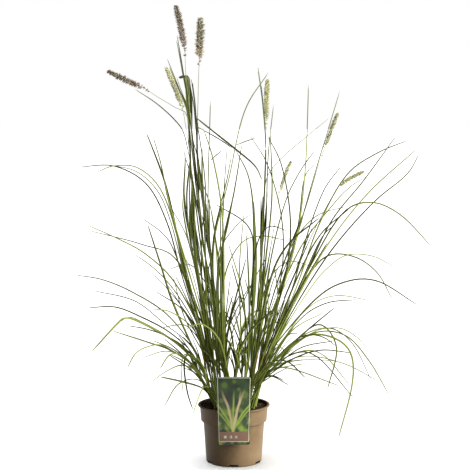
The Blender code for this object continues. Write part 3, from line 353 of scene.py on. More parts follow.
rightShoots = [
    ((3.6, -1), 12, [
        (-6, 7.4, [(4.8, 36), (5.8, 52), (5.2, 69)]),
        (-9, 5.2, [(5, 38), (5.2, 62), (4, 74.5), (0.3, 82.5)])]),
    ((4.2, 0.8), 12, [
        (6, 5.4, [(6.6, 36), (7.2, 54), (8.2, 77)]),
        (14, 4.8, [(6.4, 36), (8.2, 60), (8.8, 80), (10.2, 94)])]),
    ((4.2, -2.8), 11, [
        (-13, 4.8, [(6.2, 30), (8.2, 52), (9.9, 70), (9.4, 87)]),
        (-22, 6, [(6.6, 34), (9.6, 54), (13.2, 68.5), (17, 76.5), (21.2, 82.4)])]),
    ((5, 0), 12, [
        (-5, 5.4, [(8.6, 31), (13.6, 50), (14.7, 64), (12.4, 78), (8.3, 86.5)]),
        (5, 5.4, [(9.2, 34), (16, 58), (18.4, 77), (19.2, 99)]),
        (14, 4.4, [(9.2, 36), (16.2, 60), (18.2, 74.5), (21.4, 78.9)])]),
    ((4.8, 2.4), 12, [
        (18, 5.4, [(8.6, 33), (14.6, 53), (20.6, 75), (27.3, 97.5)]),
        (26, 4.2, [(8.6, 36), (17, 56), (25, 67), (30, 72.4), (34.5, 75.3)])]),
    ((5.6, -1.8), 9, [
        (-9, 6, [(8.4, 27), (16, 45.5), (22, 62.5), (29, 75.4), (37, 81.3),
                   (45.5, 84.8)]),
        (-22, 4.8, [(8.4, 27), (15, 45), (22, 59.3), (30.5, 67.3)])]),
    ((5.8, 0.6), 9, [
        (8, 6, [(9.2, 28), (17, 44.5), (25, 58.5), (35, 71.2), (48, 83)]),
        (20, 5.4, [(9.2, 29), (17.3, 46), (25, 63), (33.8, 74.4), (42.5, 86.5)])]),
    ((5, -3.4), 9, [
        (-7, 6, [(9.6, 31), (20, 52), (28, 65.4), (35.5, 68.6), (43.5, 65.2),
                   (52, 56.5)]),
        (-28, 5.2, [(8.8, 29), (16.5, 45), (22.5, 58.5), (26.5, 63)])]),
    ((3.6, -4.4), 10, [
        (-32, 6, [(6.2, 31), (9.5, 48), (14, 57.3), (22.5, 64.7)]),
        (-34, 5.2, [(4.6, 32), (5.4, 54), (8.6, 62), (14.3, 61)]),
        (-24, 5.2, [(7.4, 27), (11.4, 41), (10.7, 51.5)])]),
    ((3.4, 4.8), 10, [
        (32, 4.2, [(7.4, 34), (14, 55), (21, 64.6), (29.5, 67.5)]),
        (38, 5.2, [(5.4, 32), (8.6, 47), (14, 53), (21, 51.5)]),
        (25, 4.8, [(8.4, 25), (11.6, 35), (8.3, 41.5)])]),
    ((5.8, -3), 8, [
        (-11, 6, [(9.4, 29), (20.5, 42.3), (28.5, 47.5), (37.5, 47.9), (48.5, 41.3)]),
        (-24, 4.8, [(9.4, 27), (17, 37.5), (24, 42), (32.5, 43)]),
        (-16, 6, [(8.6, 22.5), (16.5, 32.3), (26.5, 41)])]),
    ((5.4, 3.2), 8, [
        (17, 5.4, [(9.4, 29), (17, 45), (23.5, 54), (31, 54.4), (37.5, 50),
                   (41.7, 42.5)]),
        (25, 4.8, [(8.8, 26), (18, 39.5), (26, 44), (36, 42.7)]),
        (36, 4.8, [(8, 23), (15, 34.5), (24, 39.8)])]),
    ((4.6, -4.2), 7, [
        (-17, 6.8, [(9.6, 25.5), (18.5, 33), (25.5, 33.1), (30.6, 29), (31.2, 20.5),
                    (27.6, 5.5)]),
        (-22, 6, [(9, 24.5), (17.5, 33.6), (23, 36.3), (27, 30), (24.6, 18.7)])]),
    ((6, -1), 6, [
        (-9, 5, [(10, 24.5), (17.5, 30.2), (26.5, 32.1)]),
        (-13, 5.4, [(10, 23.5), (16, 27.5), (23, 29.6), (31.3, 28.8)]),
        (-22, 4.6, [(9.6, 24), (15.5, 28.6), (22, 27.7), (32, 16.2)])]),
    ((6, 1.8), 6, [
        (10, 4.4, [(7.9, 24.5), (14, 26.4), (20, 27.1), (27, 26.7)]),
        (18, 4.4, [(7.4, 23.1), (14, 24.8), (28, 19.9)]),
        (15, 4.4, [(8.1, 23.3), (18, 28), (29, 26), (38.5, 21)]),
        (27, 4.6, [(8, 23.8), (17, 29), (23.5, 28.2), (30.5, 20.2)])]),
    ((4.8, 4.2), 7, [
        (28, 5.2, [(9.4, 25.5), (18, 33.4), (25.5, 35.4), (31.5, 31), (36.2, 21.5)]),
        (20, 5.4, [(9.6, 25), (20, 33.8), (29, 33.6), (35.6, 26.6), (41.1, 17.2)])]),
    ((2.4, -5.4), 6, [
        (-16, 5.4, [(6.4, 21), (9.8, 22.7), (14.5, 20.3)]),
        (-24, 4.8, [(6, 22), (9, 26), (14, 26.5), (19, 22)])]),
    ((1.8, 5.6), 6, [
        (26, 5.4, [(6.4, 21.5), (11, 24.5), (19, 26)]),
        (34, 5.2, [(4.4, 22), (5.6, 29), (9.5, 32), (15, 28)])]),
]
leafShoots = {f"leaf_shoot_{side}_{number}": shoot
              for side, shoots in (("left", leftShoots), ("upright", uprightShoots),
                                   ("centre", centreShoots), ("right", rightShoots))
              for number, shoot in enumerate(shoots, 1)}


# Layout: the same ways through the air as the solids have, so these values stay as they are.
layout = {"crownRadius": 0.060, "crownSpacing": 0.0115, "soilTop": 0.145, "footDepth": 0.010,
          "kneeHeight": 0.004, "clearance": 0.0006, "parallel": 1e-12,
          "culmRadius": 0.0015, "culmTopRadius": 0.0009, "sheathRadii": (0.0030, 0.0029, 0.0018),
          "sheathLean": 0.05, "sheathLeans": (1.0, 0.8, 0.6, 0.4, 0.2, 0.0),
          "topLeafShare": 0.9, "leafSpacing": 0.22, "depthPower": 1.4, "curveSteps": 16,
          "fewestStations": 3, "mostStations": 9, "turnPerStation": math.radians(38), "bendWeight": 1.5,
          "twistLeast": math.radians(18), "twistRange": math.radians(34), "twistStep": 0.618,
          "tipShift": 0.015, "tipShifts": 12, "bowShift": 0.008, "bowShifts": 6, "bowCost": 2.5,
          "baseWidth": 0.62, "fullWidthAt": 0.3, "taper": 0.48}


def placeSeen(x, z, depth):
    # a point seen from the front at x, z on the pot's middle plane, at its real depth
    distance, height = -view["eye"][1], view["eye"][2]
    scale = (distance + depth) / distance
    return Vector((x * scale, depth, height + (z - height) * scale))


def smoothPoints(points):
    # a smooth curve through the points
    ends = [2 * points[0] - points[1], *points, 2 * points[-1] - points[-2]]
    curve = []
    for before, start, end, after in zip(ends, ends[1:], ends[2:], ends[3:]):
        for step in range(layout["curveSteps"]):
            t = step / layout["curveSteps"]
            curve.append(0.5 * (2 * start + (end - before) * t
                                + (2 * before - 5 * start + 4 * end - after) * t ** 2
                                + (3 * start - before - 3 * end + after) * t ** 3))
    return [*curve, points[-1].copy()]


def stations(curve):
    # the few points that hold a curve's form, closer together where it bends
    measure = [0.0]
    length = lengthOf(curve)
    turn = sum((b - a).angle(c - b) for a, b, c in zip(curve, curve[1:], curve[2:]))
    for index, (a, b) in enumerate(zip(curve, curve[1:])):
        bend = (b - a).angle(curve[index + 2] - b) if index + 2 < len(curve) else 0.0
        measure.append(measure[-1] + (b - a).length / length
                       + layout["bendWeight"] * bend / max(turn, 1.0))
    count = layout["fewestStations"] + round(turn / layout["turnPerStation"])
    count = min(layout["mostStations"], count)
    picked = np.interp(np.linspace(0, measure[-1], count + 1), measure, range(len(curve)))
    return [curve[round(index)] for index in picked]


def lengthOf(path):
    return sum((b - a).length for a, b in zip(path, path[1:]))


def sharesOf(path):
    # how far along the path each of its points lies, from 0 to 1
    lengths = [0.0]
    for a, b in zip(path, path[1:]):
        lengths.append(lengths[-1] + (b - a).length)
    return [length / lengths[-1] for length in lengths]


def directions(path):
    after = [*path[1:], 2 * path[-1] - path[-2]]
    before = [2 * path[0] - path[1], *path[:-1]]
    return [(b - a).normalized() for a, b in zip(before, after)]


def halfWidth(share, width):
    growth = layout["baseWidth"] + (1 - layout["baseWidth"]) * min(share / layout["fullWidthAt"], 1)
    return 0.5 * width * growth * (1 - share) ** layout["taper"]


def segmentsOf(path, radii):
    points = np.array(path)
    return points[:-1], points[1:], np.maximum(radii[:-1], radii[1:])


class Clump:
    # the axis of everything planted so far, so that the next piece can be laid clear of it
    def __init__(self):
        self.starts = np.empty((0, 3))
        self.ends = np.empty((0, 3))
        self.radii = np.empty(0)
        self.owners = np.empty(0, dtype=int)

    def plant(self, owner, path, radii):
        starts, ends, reach = segmentsOf(path, radii)
        self.starts = np.vstack([self.starts, starts])
        self.ends = np.vstack([self.ends, ends])
        self.radii = np.append(self.radii, reach)
        self.owners = np.append(self.owners, [owner] * len(reach))

    def room(self, owner, path, radii):
        others = self.owners != owner
        if not others.any():
            return math.inf
        starts, ends, reach = segmentsOf(path, radii)
        gaps = segmentGaps(starts, ends, self.starts[others], self.ends[others])
        return float((gaps - reach[:, None] - self.radii[others]).min())

    def layClear(self, owner, ways, axisOf):
        # plant the first way that clears the others, or else the one with the most room
        mostRoom = -math.inf
        for way in ways:
            room = self.room(owner, *axisOf(way))
            if room > mostRoom:
                mostRoom, best = room, way
            if room > layout["clearance"]:
                break
        self.plant(owner, *axisOf(best))
        return best


def segmentGaps(starts, ends, otherStarts, otherEnds):
    # the distance between each line segment of one set and each of the other
    a = (ends - starts)[:, None, :]
    b = (otherEnds - otherStarts)[None, :, :]
    between = starts[:, None, :] - otherStarts[None, :, :]
    aa = (a * a).sum(-1)
    bb = (b * b).sum(-1)
    ab = (a * b).sum(-1)
    aBetween = (a * between).sum(-1)
    bBetween = (b * between).sum(-1)
    spread = np.maximum(aa * bb - ab * ab, layout["parallel"])
    s = np.clip((ab * bBetween - bb * aBetween) / spread, 0, 1)
    t = np.clip((ab * s + bBetween) / bb, 0, 1)
    s = np.clip((ab * t - aBetween) / aa, 0, 1)
    nearest = between + s[..., None] * a - t[..., None] * b
    return np.sqrt((nearest * nearest).sum(-1))


def crownPlaces():
    # places for feet on the soil, in staggered rows
    radius = layout["crownRadius"]
    spacing = layout["crownSpacing"]
    rowStep = spacing * math.sqrt(3) / 2
    rows = int(radius / rowStep)
    columns = int(radius / spacing) + 1
    places = []
    for row in range(-rows, rows + 1):
        for column in range(-columns, columns + 1):
            x = (column + 0.5 * (row % 2)) * spacing
            y = row * rowStep
            if (x / radius) ** 2 + (y / radius) ** 2 <= 1:
                places.append(Vector((x, y)))
    return places


def takePlace(places, wanted):
    # the free place nearest to the wanted one
    target = Vector(wanted) * cm
    nearest = min(places, key=lambda place: (place - target).length)
    places.remove(nearest)
    return nearest


def layOut(start, marks, tipDepth, bow):
    # points of a stem or leaf at their real depths; the depth grows slowly at first
    flat = [Vector((start.x, start.z)), *(Vector(mark) * cm for mark in marks)]
    points = [start]
    for (x, z), share in list(zip(flat, sharesOf(flat)))[1:]:
        depth = start.y + (tipDepth - start.y) * share ** layout["depthPower"]
        points.append(placeSeen(x, z, depth + bow * math.sin(math.pi * share)))
    return points


def bentWays(start, marks, tipDepth):
    # the same way with its tip moved in depth, or bowed: the least changed ones first
    shifts = [(tip * layout["tipShift"], bow * layout["bowShift"])
              for tip in range(-layout["tipShifts"], layout["tipShifts"] + 1)
              for bow in range(-layout["bowShifts"], layout["bowShifts"] + 1)]
    shifts.sort(key=lambda shift: abs(shift[0]) + layout["bowCost"] * abs(shift[1]))
    return (layOut(start, marks, tipDepth + tipShift, bow) for tipShift, bow in shifts)


def layLeaf(clump, owner, start, leaf):
    # the curve of a leaf, from its joint to its tip
    depth, width, marks = leaf

    def axisOf(points):
        path = stations(smoothPoints(points))
        return path, np.array([halfWidth(share, width * mm) for share in sharesOf(path)])

    return smoothPoints(clump.layClear(owner, bentWays(start, marks, depth * cm), axisOf))


def layStem(clump, owner, stem, place):
    # the curves of a culm and of its head
    headRadius = stem["width"] * cm / 2
    headStart = (len(stem["culm"]) + 1) * layout["curveSteps"]

    def axisOf(points):
        curve = smoothPoints(points)
        path = stations(curve[:headStart + 1])
        head = curve[headStart:]
        radii = [layout["culmRadius"]] * len(path) + [headRadius] * 2
        return [*path, head[len(head) // 2], head[-1]], np.array(radii)

    knee = Vector((*place, layout["soilTop"] + layout["kneeHeight"]))
    ways = bentWays(knee, [*stem["culm"], *stem["head"]], stem["depth"] * cm)
    curve = smoothPoints(clump.layClear(owner, ways, axisOf))
    return curve[:headStart + 1], curve[headStart:]


def laySheath(clump, owner, shoot, place):
    # up from the soil, leaning the way of its leaves where it has room
    height, leaves = shoot[1:]
    soilTop = layout["soilTop"]
    foot = Vector((*place, soilTop - layout["footDepth"]))
    knee = Vector((*place, soilTop + layout["kneeHeight"]))
    count = len(leaves)
    firstX = sum(marks[0][0] for depth, width, marks in leaves) / count * cm
    firstZ = sum(marks[0][1] for depth, width, marks in leaves) / count * cm
    meanDepth = sum(depth for depth, width, marks in leaves) / count * cm
    rise = (height * cm - layout["kneeHeight"]) / (firstZ - knee.z)
    ways = [[foot, knee, Vector((place.x + lean * (firstX - place.x) * rise,
                                 place.y + lean * layout["sheathLean"] * meanDepth,
                                 soilTop + height * cm))] for lean in layout["sheathLeans"]]
    return clump.layClear(owner, ways, lambda axis: (axis, np.array(layout["sheathRadii"])))


def twistFor(number):
    lean = layout["twistLeast"] + layout["twistRange"] * ((layout["twistStep"] * number) % 1.0)
    return lean if number % 2 else -lean


def layPlant():
    # the same order as the solids were laid in, so that each piece finds the same way
    places = crownPlaces()
    clump = Clump()
    plant = {}
    for number, stem in enumerate(flowerStems, 1):
        place = takePlace(places, stem["foot"])
        culm, head = layStem(clump, number, stem, place)
        plant[f"flower_stem_{number}"] = {"owner": number, "place": place, "culm": culm,
                                          "head": head, "stem": stem, "leaves": []}
    for owner, (name, shoot) in enumerate(leafShoots.items(), len(flowerStems) + 1):
        place = takePlace(places, shoot[0])
        axis = laySheath(clump, owner, shoot, place)
        plant[name] = {"owner": owner, "place": place, "axis": axis, "leaves": []}
    for name, piece in plant.items():
        owner = piece["owner"]
        if "culm" in piece:
            leaves = [(depth, width, marks[1:]) for depth, width, marks in piece["stem"]["leaves"]]
            joints = [marks[0][1] * cm for depth, width, marks in piece["stem"]["leaves"]]
            starts = [min(piece["culm"], key=lambda point: abs(point.z - joint)) for joint in joints]
        else:
            leaves = leafShoots[name][2]
            knee, top = piece["axis"][1:]
            starts = [knee.lerp(top, layout["topLeafShare"] - layout["leafSpacing"] * index)
                      for index in range(len(leaves))]
        for index, (leaf, start) in enumerate(zip(leaves, starts)):
            curve = layLeaf(clump, owner, start, leaf)
            piece["leaves"].append({"curve": curve, "width": leaf[1] * mm,
                                    "twist": twistFor(5 * owner + index)})
    return plant


plant = layPlant()
print("laid", sum(len(piece["leaves"]) for piece in plant.values()), "leaves on", len(plant), "shoots")


# Shared mesh work.
smallest = 1e-7  # points nearer to each other than this are one


def newShape():
    bm = bmesh.new()
    bm.loops.layers.uv.new("strip")
    bm.verts.layers.float.new("tone")
    bm.verts.layers.float.new("age")
    return bm


def addPiece(mesh, name, material, node):
    piece = addObject(name, mesh)
    mesh.materials.append(material)
    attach(piece, "root")
    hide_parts(node)


def shadeTo(mesh, sharpAngle):
    mesh.shade_smooth()
    mesh.set_sharp_from_angle(angle=math.radians(sharpAngle))


def newMesh(bm, name):
    mesh = bpy.data.meshes.new(name)
    bm.to_mesh(mesh)
    bm.free()
    return mesh


def finishPiece(bm, name, material, node, sharpAngle=50):
    # close the seams, turn the faces outwards, and put the piece on the root body in place of its solid
    bmesh.ops.remove_doubles(bm, verts=bm.verts, dist=smallest)
    bmesh.ops.recalc_face_normals(bm, faces=bm.faces)
    mesh = newMesh(bm, name)
    shadeTo(mesh, sharpAngle)
    addPiece(mesh, name, material, node)


def resample(curve, shares):
    # points at the given shares of a curve's length
    have = sharesOf(curve)
    points = np.array(curve)
    columns = [np.interp(shares, have, points[:, axis]) for axis in range(3)]
    return [Vector(point) for point in zip(*columns)]


def carriedAcross(along, across):
    # a direction across a path, turned as little as can be from point to point
    sides = []
    for tangent in along:
        across = (across - tangent * across.dot(tangent)).normalized()
        sides.append(across)
    return sides


def spokeOf(tangent, side, angle):
    return math.cos(angle) * side + math.sin(angle) * tangent.cross(side)


def wrapRings(bm, around, rings, ends, pointOf, tone=0.5, age=0.0):
    # a grid rolled up and closed on two end points; pointOf(turn, ring) says where the rest goes
    rows = rings + 1
    grid = bmesh.ops.create_grid(bm, x_segments=around, y_segments=rows, size=0.5, calc_uvs=True)
    toneLayer = bm.verts.layers.float["tone"]
    ageLayer = bm.verts.layers.float["age"]
    for vert in grid["verts"]:
        turn = round((vert.co.x + 0.5) * around) % around
        row = round((vert.co.y + 0.5) * rows)
        vert.co = ends[row // rows] if row in (0, rows) else pointOf(turn, row - 1)
        vert[toneLayer] = tone
        vert[ageLayer] = age


def addTube(bm, path, radii, around, tone, age):
    # a closed round tube through the path's points
    along = directions(path)
    sides = carriedAcross(along, Vector((1, 0, 0)))

    def pointOf(turn, ring):
        return path[ring] + float(radii[ring]) * spokeOf(along[ring], sides[ring], math.tau * turn / around)

    wrapRings(bm, around, len(path), (path[0], path[-1]), pointOf, tone, age)


# Leaves: a folded, twisted blade with a thin skin and a keel. It widens up to fullAt, tapers to its
# tip and is tucked in at its joint. Leaves wider than broad are the flag leaves, and twist little.
leafForm = {"rows": 40, "rowPower": 0.9, "fuller": 1.18, "taper": 0.26, "fold": 0.95, "foot": 0.46,
            "fullAt": 0.45, "skin": 0.00030, "keel": 0.00022, "thinFrom": 0.0009,
            "tucked": 0.45, "tuckedTo": 0.04, "twistAtFoot": 0.4, "twistOnward": 0.8,
            "broad": 0.010, "broadTaper": 0.2, "broader": 1.4, "broadTwist": 0.2, "broadFoot": 0.15}
# once round a leaf: across from edge to edge, share of the fold's depth, share of the skin
leafRound = [(1.0, 0.0, 0.0), (0.55, 0.50, 0.0), (0.0, 1.0, 0.0), (-0.55, 0.50, 0.0),
             (-1.0, 0.0, 0.0), (-0.55, 0.50, 1.0), (0.0, 1.0, 1.0), (0.55, 0.50, 1.0)]
shades = {"step": 0.618034, "start": 0.37}


def toneOf(number, low=0.0, high=1.0):
    # evenly spread shades, one for each number
    return low + (high - low) * ((number * shades["step"] + shades["start"]) % 1.0)


def addLeaf(bm, leaf, tone, age):
    form = leafForm
    curve, width, twist = leaf["curve"], leaf["width"], leaf["twist"]
    taper, foot = form["taper"], form["foot"]
    if width > form["broad"]:
        taper, foot = form["broadTaper"], form["broadFoot"]
        width *= form["broader"]
        twist *= form["broadTwist"]
    rows = form["rows"]
    shares = [(row / rows) ** form["rowPower"] for row in range(rows + 1)]
    path = resample(curve, shares)
    along = directions(path)
    outward = curve[-1] - curve[0]
    outward.z = 0
    sides = carriedAcross(along, Vector((0, 0, 1)).cross(outward.normalized()))
    rings = []
    for point, tangent, side, share in zip(path, along, sides, shares):
        half = 0.5 * form["fuller"] * width * (1 - share) ** taper
        half *= foot + (1 - foot) * min(share / form["fullAt"], 1)
        half *= form["tucked"] + (1 - form["tucked"]) * min(share / form["tuckedTo"], 1)
        side = Quaternion(tangent, twist * (form["twistAtFoot"] + form["twistOnward"] * share)) @ side
        under = side.cross(tangent)
        thin = min(half / form["thinFrom"], 1)
        rings.append((point, side * half, under * half * form["fold"],
                      under * form["skin"] * thin, under * form["keel"] * thin))

    def pointOf(turn, ring):
        point, side, fold, skin, keel = rings[ring]
        across, sunk, below = leafRound[turn]
        ridge = keel if below and not across else Vector()
        return point + across * side + sunk * fold + below * skin + ridge

    wrapRings(bm, len(leafRound), rows, (path[0], path[-1]), pointOf, tone, age)


# Leaf shoots: a sheath with its leaves, and a few more that fill the clump. The more leaves of each
# kind: how many, their length as a share of the leaf that they follow, and how far they lean aside.
shootForm = {"sheathAround": 12, "sheathRows": 14, "sheathAge": 0.3, "kneeShare": 0.12,
             "companions": (1, (0.5, 1.0), 0.17), "uprights": (1, (0.8, 1.0), 0.17),
             "basal": (2, (0.2, 0.48), 0.62), "basalCentre": (5, (0.2, 0.48), 0.62),
             "dry": (1, (0.06, 0.18), 0.34), "bundled": (2, (0.75, 0.97), 0.05),
             "points": 9, "slender": 0.006, "slimmer": (0.7, 0.95), "depthways": 0.18,
             "leanPower": 0.7, "edge": 0.005, "alone": 0.4, "oldest": 0.35, "dryOnes": 0.5,
             "dryTone": 0.8, "dryAge": 1.0, "tipWidth": 0.0044, "tipTone": 0.5, "tipAge": 0.1}
# short bent tips that stand off leaves, in cm as seen from the front: shoot, leaf, points
sideTips = [("leaf_shoot_centre_6", 0, [(0.5, 83.4), (2.9, 84.4), (5.5, 85.2)]),
            ("leaf_shoot_centre_6", 2, [(-6.2, 79.4), (-4.9, 80.6), (-3.3, 81.9)])]


def sheathPath(axis):
    foot, knee, top = axis
    curve = smoothPoints([foot, knee, knee.lerp(top, 0.5), top])
    return resample(curve, np.linspace(0, 1, shootForm["sheathRows"]))


def keptIn(point):
    # a point no nearer than a leaf's width to the sides of the solids' box
    low, high = cadBox
    edge = shootForm["edge"]
    return Vector(min(max(value, least + edge), most - edge)
                  for value, least, most in zip(point, low, high))


def moreLeaves(kind, leaves, rng):
    # leaves that follow the given ones: shorter and slimmer, and leaning a little off them
    form = shootForm
    count, shorter, spread = form[kind]
    extra = []
    for index in range(count):
        leaf = leaves[index % len(leaves)]
        start = leaf["curve"][0]
        sideways = rng.uniform(-1, 1) * spread
        depthways = rng.uniform(-1, 1) * form["depthways"]
        shares = np.linspace(0, rng.uniform(*shorter), form["points"])
        moved = []
        for point, share in zip(resample(leaf["curve"], shares), shares):
            reach = (point - start).length * share ** form["leanPower"]
            moved.append(keptIn(point + Vector((sideways * reach, depthways * reach, 0))))
        extra.append({"curve": smoothPoints(moved), "twist": -leaf["twist"],
                      "width": min(leaf["width"], form["slender"]) * rng.uniform(*form["slimmer"])})
    return extra


def makeShoot(name, piece, material, rng):
    form = shootForm
    bm = newShape()
    owner = piece["owner"]
    leaves = piece["leaves"]
    path = sheathPath(piece["axis"])
    radii = np.interp(np.linspace(0, 1, len(path)), (0, form["kneeShare"], 1), layout["sheathRadii"])
    addTube(bm, path, radii, form["sheathAround"], toneOf(owner), form["sheathAge"])
    alone = rng.uniform() < form["alone"]
    extra = []
    if "upright" in name or not alone:
        extra += moreLeaves("uprights" if "upright" in name else "companions", leaves, rng)
    extra += moreLeaves("basalCentre" if "centre" in name else "basal", leaves, rng)
    for index, leaf in enumerate([*leaves, *extra]):
        addLeaf(bm, leaf, toneOf(3 * owner + index), rng.uniform(0, form["oldest"]))
    if rng.uniform() < form["dryOnes"]:
        for leaf in moreLeaves("dry", leaves, rng):
            addLeaf(bm, leaf, form["dryTone"], form["dryAge"])
    for shoot, index, marks in sideTips:
        if shoot == name:
            depth = min(leaves[index]["curve"], key=lambda point: abs(point.z - marks[0][1] * cm)).y
            curve = smoothPoints([placeSeen(x * cm, z * cm, depth) for x, z in marks])
            tip = {"curve": curve, "width": form["tipWidth"], "twist": layout["twistLeast"]}
            addLeaf(bm, tip, form["tipTone"], form["tipAge"])
    finishPiece(bm, name.replace("leaf_shoot", "leaves"), material, name)


# Flower stems: a jointed culm with its leaves, and slender leaves that rise close along it.
stemForm = {"around": 10, "rows": 70, "fuller": 1.3, "slimTop": 0.35, "top": 0.3, "age": 0.1,
            "jointEvery": 0.15, "jointSwell": 0.00045, "jointLength": 0.004,
            "sheathLength": 0.13, "sheathSkin": 0.00045, "sheathAge": 0.2, "sheathPoints": 4,
            "leafSlimmer": 0.7, "bundledReach": 0.08, "bundledTones": (0, 0.5),
            "clasping": 6, "claspingRight": 3, "claspFrom": (0.4, 0.64), "claspLength": (0.14, 0.24),
            "claspWidth": (0.0040, 0.0056), "claspLean": 0.08, "claspOff": 0.003, "claspTones": (0, 0.8)}


def culmRadii(shares, length):
    # thickest at the joints, and slimmer in its top part
    form = stemForm
    top = form["top"]
    radii = []
    for share in shares:
        radius = layout["culmRadius"] + (layout["culmTopRadius"] - layout["culmRadius"]) * share
        run = share * length / form["jointEvery"]
        if 0.5 < run < length / form["jointEvery"] - 1:
            offJoint = abs(run - round(run)) * form["jointEvery"]
            radius += form["jointSwell"] * math.exp(-(offJoint / form["jointLength"]) ** 2)
        slimmed = 1 - form["slimTop"] * max(share - (1 - top), 0) / top
        radii.append(slimmed * radius * (1 + (form["fuller"] - 1) * min((1 - share) / top, 1)))
    return radii


def levelStep(rng, most):
    return Vector((*rng.uniform(-1, 1, 2), 0)) * most


def makeStem(name, piece, material, rng):
    form = stemForm
    bm = newShape()
    owner = piece["owner"]
    place = piece["place"]
    around = form["around"]
    curve = [Vector((*place, layout["soilTop"] - layout["footDepth"])), *piece["culm"]]
    shares = np.linspace(0, 1, form["rows"])
    path = resample(curve, shares)
    addTube(bm, path, culmRadii(shares, lengthOf(curve)), around, toneOf(owner, 0.2, 0.7), form["age"])
    for index, leaf in enumerate(piece["leaves"]):
        joint = leaf["curve"][0]
        sheath = [point for point in path if joint.z - form["sheathLength"] < point.z < joint.z]
        if len(sheath) >= form["sheathPoints"]:
            wrap = layout["culmRadius"] * form["fuller"] + form["sheathSkin"]
            addTube(bm, sheath, [wrap] * len(sheath), around, toneOf(owner + index), form["sheathAge"])
        slimmer = form["leafSlimmer"] if leaf["width"] < shootForm["slender"] else 1
        slimLeaf = {**leaf, "width": leaf["width"] * slimmer}
        addLeaf(bm, slimLeaf, toneOf(5 * owner + index, 0, 0.6), form["age"])
    upright = [leaf for leaf in piece["leaves"]
               if abs(leaf["curve"][-1].x - leaf["curve"][0].x) < form["bundledReach"]]
    if upright:
        for leaf in moreLeaves("bundled", upright, rng):
            addLeaf(bm, leaf, rng.uniform(*form["bundledTones"]), form["age"])
    for index in range(form["clasping" if place.x < 0 else "claspingRight"]):
        low = rng.uniform(*form["claspFrom"])
        shares = np.linspace(low, low + rng.uniform(*form["claspLength"]), shootForm["points"])
        lean = levelStep(rng, form["claspLean"])
        way = resample(curve, np.minimum(shares, 1))
        aside = levelStep(rng, form["claspOff"])
        way = [keptIn(point + aside + lean * (point - way[0]).length) for point in way]
        leaf = {"curve": smoothPoints(way), "width": rng.uniform(*form["claspWidth"]),
                "twist": layout["twistLeast"]}
        addLeaf(bm, leaf, rng.uniform(*form["claspTones"]), form["age"])
    finishPiece(bm, name.replace("flower_stem", "stem"), material, name)


# Flower heads: seeds and bristles set round a thin stalk.
headForm = {"rows": 80, "stalkRadius": 0.0007, "stalkAround": 6, "stalkTone": 0.4, "stalkAge": 0.5,
            "lastSeed": 0.983, "goldenAngle": 2.39996, "wobble": 0.3, "thinnest": 0.2,
            "seedLength": 0.0064, "seedForward": 0.6, "seedWidth": 0.0021, "seedsVary": (0.8, 1.2),
            "seedReach": 0.88, "seedTone": 0.6, "bristleWidth": 0.00056, "bristlesVary": (0.7, 1.1),
            "bristleTones": (0.2, 0.7, 0.1),
            "reach": (0.85, 1.4), "forward": (0.1, 0.6), "fan": 0.16, "shortest": 0.1,
            "loosePerCm": 5, "looseBristles": 5, "looseLength": 0.018, "looseReach": 0.55}
# frayed: the share of the head above its base where seeds are sparse
headLooks = {"ripeDark": {"wider": 0.94, "plumper": 1.0, "finer": 0.85, "sleeker": 1.0, "frayed": 0.2,
                          "seedsPerCm": 15, "bristlesPerSeed": 16, "slot": "ripe_dark_plume"},
             "ripeKhaki": {"wider": 1.04, "plumper": 1.0, "finer": 0.85, "sleeker": 1.0, "frayed": 0.12,
                           "seedsPerCm": 15, "bristlesPerSeed": 16, "slot": "ripe_khaki_plume"},
             "young": {"wider": 1.14, "plumper": 0.5, "finer": 0.55, "sleeker": 1.4, "frayed": 0.3,
                       "seedsPerCm": 20, "bristlesPerSeed": 19, "slot": "young_plume"}}
# how wide a head is along its length, from its base to its tip
headGirth = ((0, 0.05, 0.2, 0.7, 0.93, 1), (0.45, 0.8, 1, 0.98, 0.75, 0.3))


def pointsAndFaces(bm):
    bmesh.ops.recalc_face_normals(bm, faces=bm.faces)
    bm.verts.index_update()
    points = np.array([vert.co[:] for vert in bm.verts])
    faces = [[vert.index for vert in face.verts] for face in bm.faces]
    bm.free()
    return points, faces


def bristleShape():
    # three-sided, tapering, a unit long, half a unit out from its axis
    bm = bmesh.new()
    bmesh.ops.create_cone(bm, cap_ends=True, segments=3, radius1=0.5, radius2=0.25, depth=1)
    bmesh.ops.translate(bm, vec=(0, 0, 0.5), verts=bm.verts)
    return pointsAndFaces(bm)


def seedShape():
    # a pointed lemon, a unit long
    bm = bmesh.new()
    bmesh.ops.create_uvsphere(bm, u_segments=5, v_segments=4, radius=0.5)
    bmesh.ops.translate(bm, vec=(0, 0, 0.5), verts=bm.verts)
    return pointsAndFaces(bm)


def strew(shape, starts, ends, widths, tones, ages):
    # one copy of the shape for each pair of points, joined in one mesh's arrays
    points, faces = shape
    starts = np.array(starts)
    span = np.array(ends) - starts
    up = span / np.linalg.norm(span, axis=1)[:, None]
    side = np.cross(up, np.where(np.abs(up[:, 2:]) > 0.9, (1.0, 0, 0), (0, 0, 1.0)))
    side /= np.linalg.norm(side, axis=1)[:, None]
    other = np.cross(up, side)
    width = np.array(widths)[:, None, None]
    placed = (starts[:, None, :] + points[None, :, 2:] * span[:, None, :]
              + points[None, :, :1] * width * side[:, None, :]
              + points[None, :, 1:2] * width * other[:, None, :])
    count = len(points)
    allFaces = [[corner + index * count for corner in face]
                for index in range(len(starts)) for face in faces]
    return placed.reshape(-1, 3), allFaces, np.repeat(tones, count), np.repeat(ages, count)


